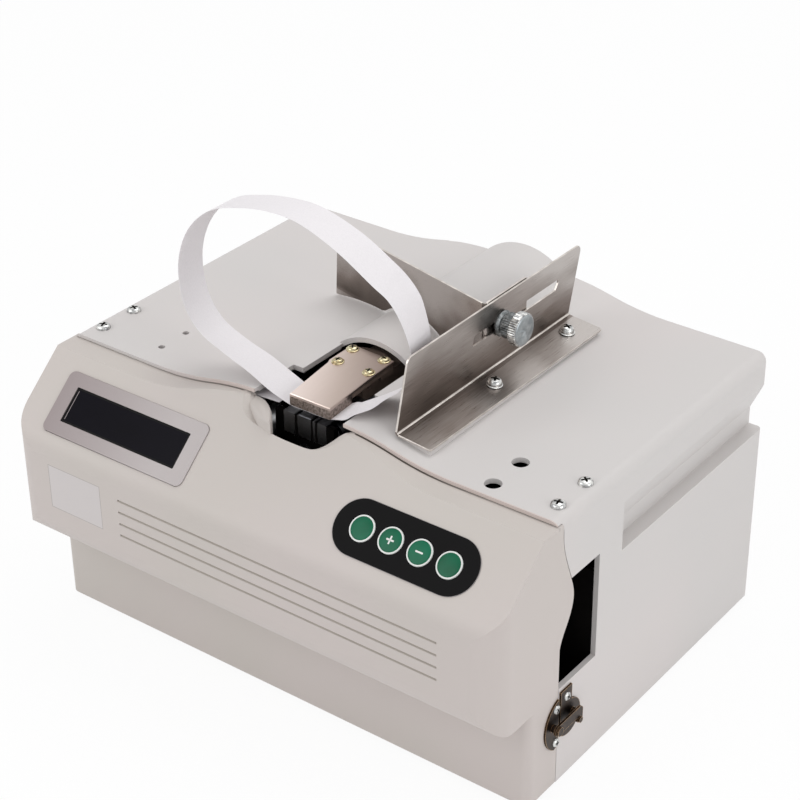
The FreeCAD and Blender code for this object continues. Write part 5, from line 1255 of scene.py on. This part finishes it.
def knurl(radius, depth, teeth, low, high, edge):
    """A cylinder with so many teeth, which fade out at its rims."""
    levels = [(radius - edge, RIM_DEPTH, low), (radius, depth, low + edge),
              (radius, depth, high - edge), (radius - edge, RIM_DEPTH, high)]
    return swept([toothed_ring(r, cut, teeth, z) for r, cut, z in levels], smooth_to=20)


def thumb_screw_parts():
    """Along Z from the sheet outward, in millimetres: head and stud, end face, waist and collar, washer."""
    washer = turned([(2.2, 0.2), (6.6, 0.2), (6.6, 0.75), (6.4, 0.9), (2.2, 0.9), (2.2, 0.2)], 40)
    waist = turned([(2.0, 1.0), (7.2, 1.0), (7.6, 1.5), (7.2, 2.4), (6.0, 3.2), (5.9, 4.3), (2.0, 4.3),
                    (2.0, 1.0)], 40)
    collar = knurl(7.4, 0.35, 34, 4.2, 10.0, 0.35)
    head = knurl(9.6, 0.45, 46, 9.9, 15.2, 0.55)
    face = turned([(0.0, 14.0), (8.7, 14.0), (8.7, 15.3), (8.4, 15.6), (8.0, 15.7), (0.0, 15.7)], 56)
    stud = turned([(0.0, -6.4), (1.7, -6.4), (2.0, -6.0), (2.0, 1.2), (0.0, 1.2)], 20)
    return [head, stud], face, [waist, collar], washer


out_of_sheet = (Matrix.Translation(Vector(SCREW_AT) * MM) @ Matrix.Rotation(math.pi / 2, 4, "Y")
                @ Matrix.Scale(MM, 4))
# Painted shade: the end face takes a darker copy of the zinc, and the waist, collar and washer a still
# darker one; the head and stud keep the plain finish.
bright, face, dark, washer = thumb_screw_parts()
screw = gathered([(part, out_of_sheet) for part in bright])
dress("clamp_thumb_screw", screw, "zinc_plated", "clamp_screw", ["thumb_screw"])
dress("clamp_screw_face", moved(face, out_of_sheet), "zinc_plated", "clamp_screw", finish="zinc_face")
dress("clamp_screw_collar", gathered([(part, out_of_sheet) for part in dark]), "zinc_plated",
      "clamp_screw", finish="zinc_shadow")
dress("clamp_washer", moved(washer, out_of_sheet), "zinc_plated", "rear_guide",
      ["thumb_screw_washer"], "zinc_shadow")
print("thumb screw:", len(screw.polygons), "faces")

# %% [markdown]
# ## The tongue and the thumb notch
# The notes rest on a nickel-plated tongue whose front and right edges are turned down over the arm, so
# that notes can't catch. The arm under it is dark bronzed steel. On the left the thumb notch ends in a
# rounded lip, which is moulded with the cover: a low crescent that fills the corner under the rolled edge.

# %% Tongue plate with turned-down edges, and the lip of the notch
TONGUE = [(-14.3, -35.2), (-13.2, -37.4), (-10.6, -58.6), (-8.4, -75.5), (18.8, -75.5), (16.0, -38.0),
          (15.2, -15.6), (-14.4, -14.4)]
TONGUE_UNDER, TONGUE_TOP = 180, 182
EDGE_LOW, EDGE_HIGH = 175.1, 180.3
SCREW_HOLES = [(-11.5, -18.5), (-9.5, -34), (10.5, -18.5), (12, -34)]
HOLE_RADIUS = 1.6


def turned_edge(plan):
    """A turned-down edge: a thin wall over an outline in plan, with its lower rim broken."""
    return swept([at_height(inset(plan, 0.1), EDGE_LOW - 0.1), at_height(plan, EDGE_LOW),
                  at_height(plan, EDGE_HIGH)])


holes = [moved(turned([(0.0, 170), (HOLE_RADIUS, 170), (HOLE_RADIUS, 190), (0.0, 190)], 20),
               Matrix.Translation((x, y, 0))) for x, y in SCREW_HOLES]
tongue = moved(cut_away(plate(TONGUE, TONGUE_UNDER, TONGUE_TOP, 0.35), holes), Matrix.Scale(MM, 4))
dress("tongue_top_plate", tongue, "tongue_nickel", "housing", ["anvil_plate"])
front_edge = turned_edge([(-8.5, -75.6), (18.4, -75.6), (18.4, -75.0), (-8.4, -75.0)])
right_edge = turned_edge([(18.1, -75.5), (18.7, -75.5), (17.2, -55.0), (16.9, -55.0)])
edges = gathered([(front_edge, Matrix.Scale(MM, 4)), (right_edge, Matrix.Scale(MM, 4))])
dress("tongue_turned_edges", edges, "tongue_nickel", "housing", finish="worn_nickel")
lip_plan = [(-35.4, -75.7), (-34.4, -78.6), (-29.4, -84.4), (-22.8, -88.6), (-16.8, -92.2), (-6.8, -94.0),
            (-8.5, -91.0), (-10.2, -88.6), (-12.6, -85.6), (-15.8, -82.4), (-19.6, -79.4), (-24.0, -76.8),
            (-28.0, -75.7)]
lip_rings = [(0.0, 162), (0.0, 171.4), (0.35, 172.6), (1.2, 173.4)]
lip = swept([at_height(inset(lip_plan, by) if by else lip_plan, z) for by, z in lip_rings], smooth_to=70)
dress("notch_left_lip", moved(lip, Matrix.Scale(MM, 4)), "cover_plastic", "cover")
NODES["anvil_arm"].data.materials[0] = FINISHES["arm_bronze"]
print("tongue:", len(tongue.polygons), "faces; lip:", len(lip.polygons), "faces")

# %% [markdown]
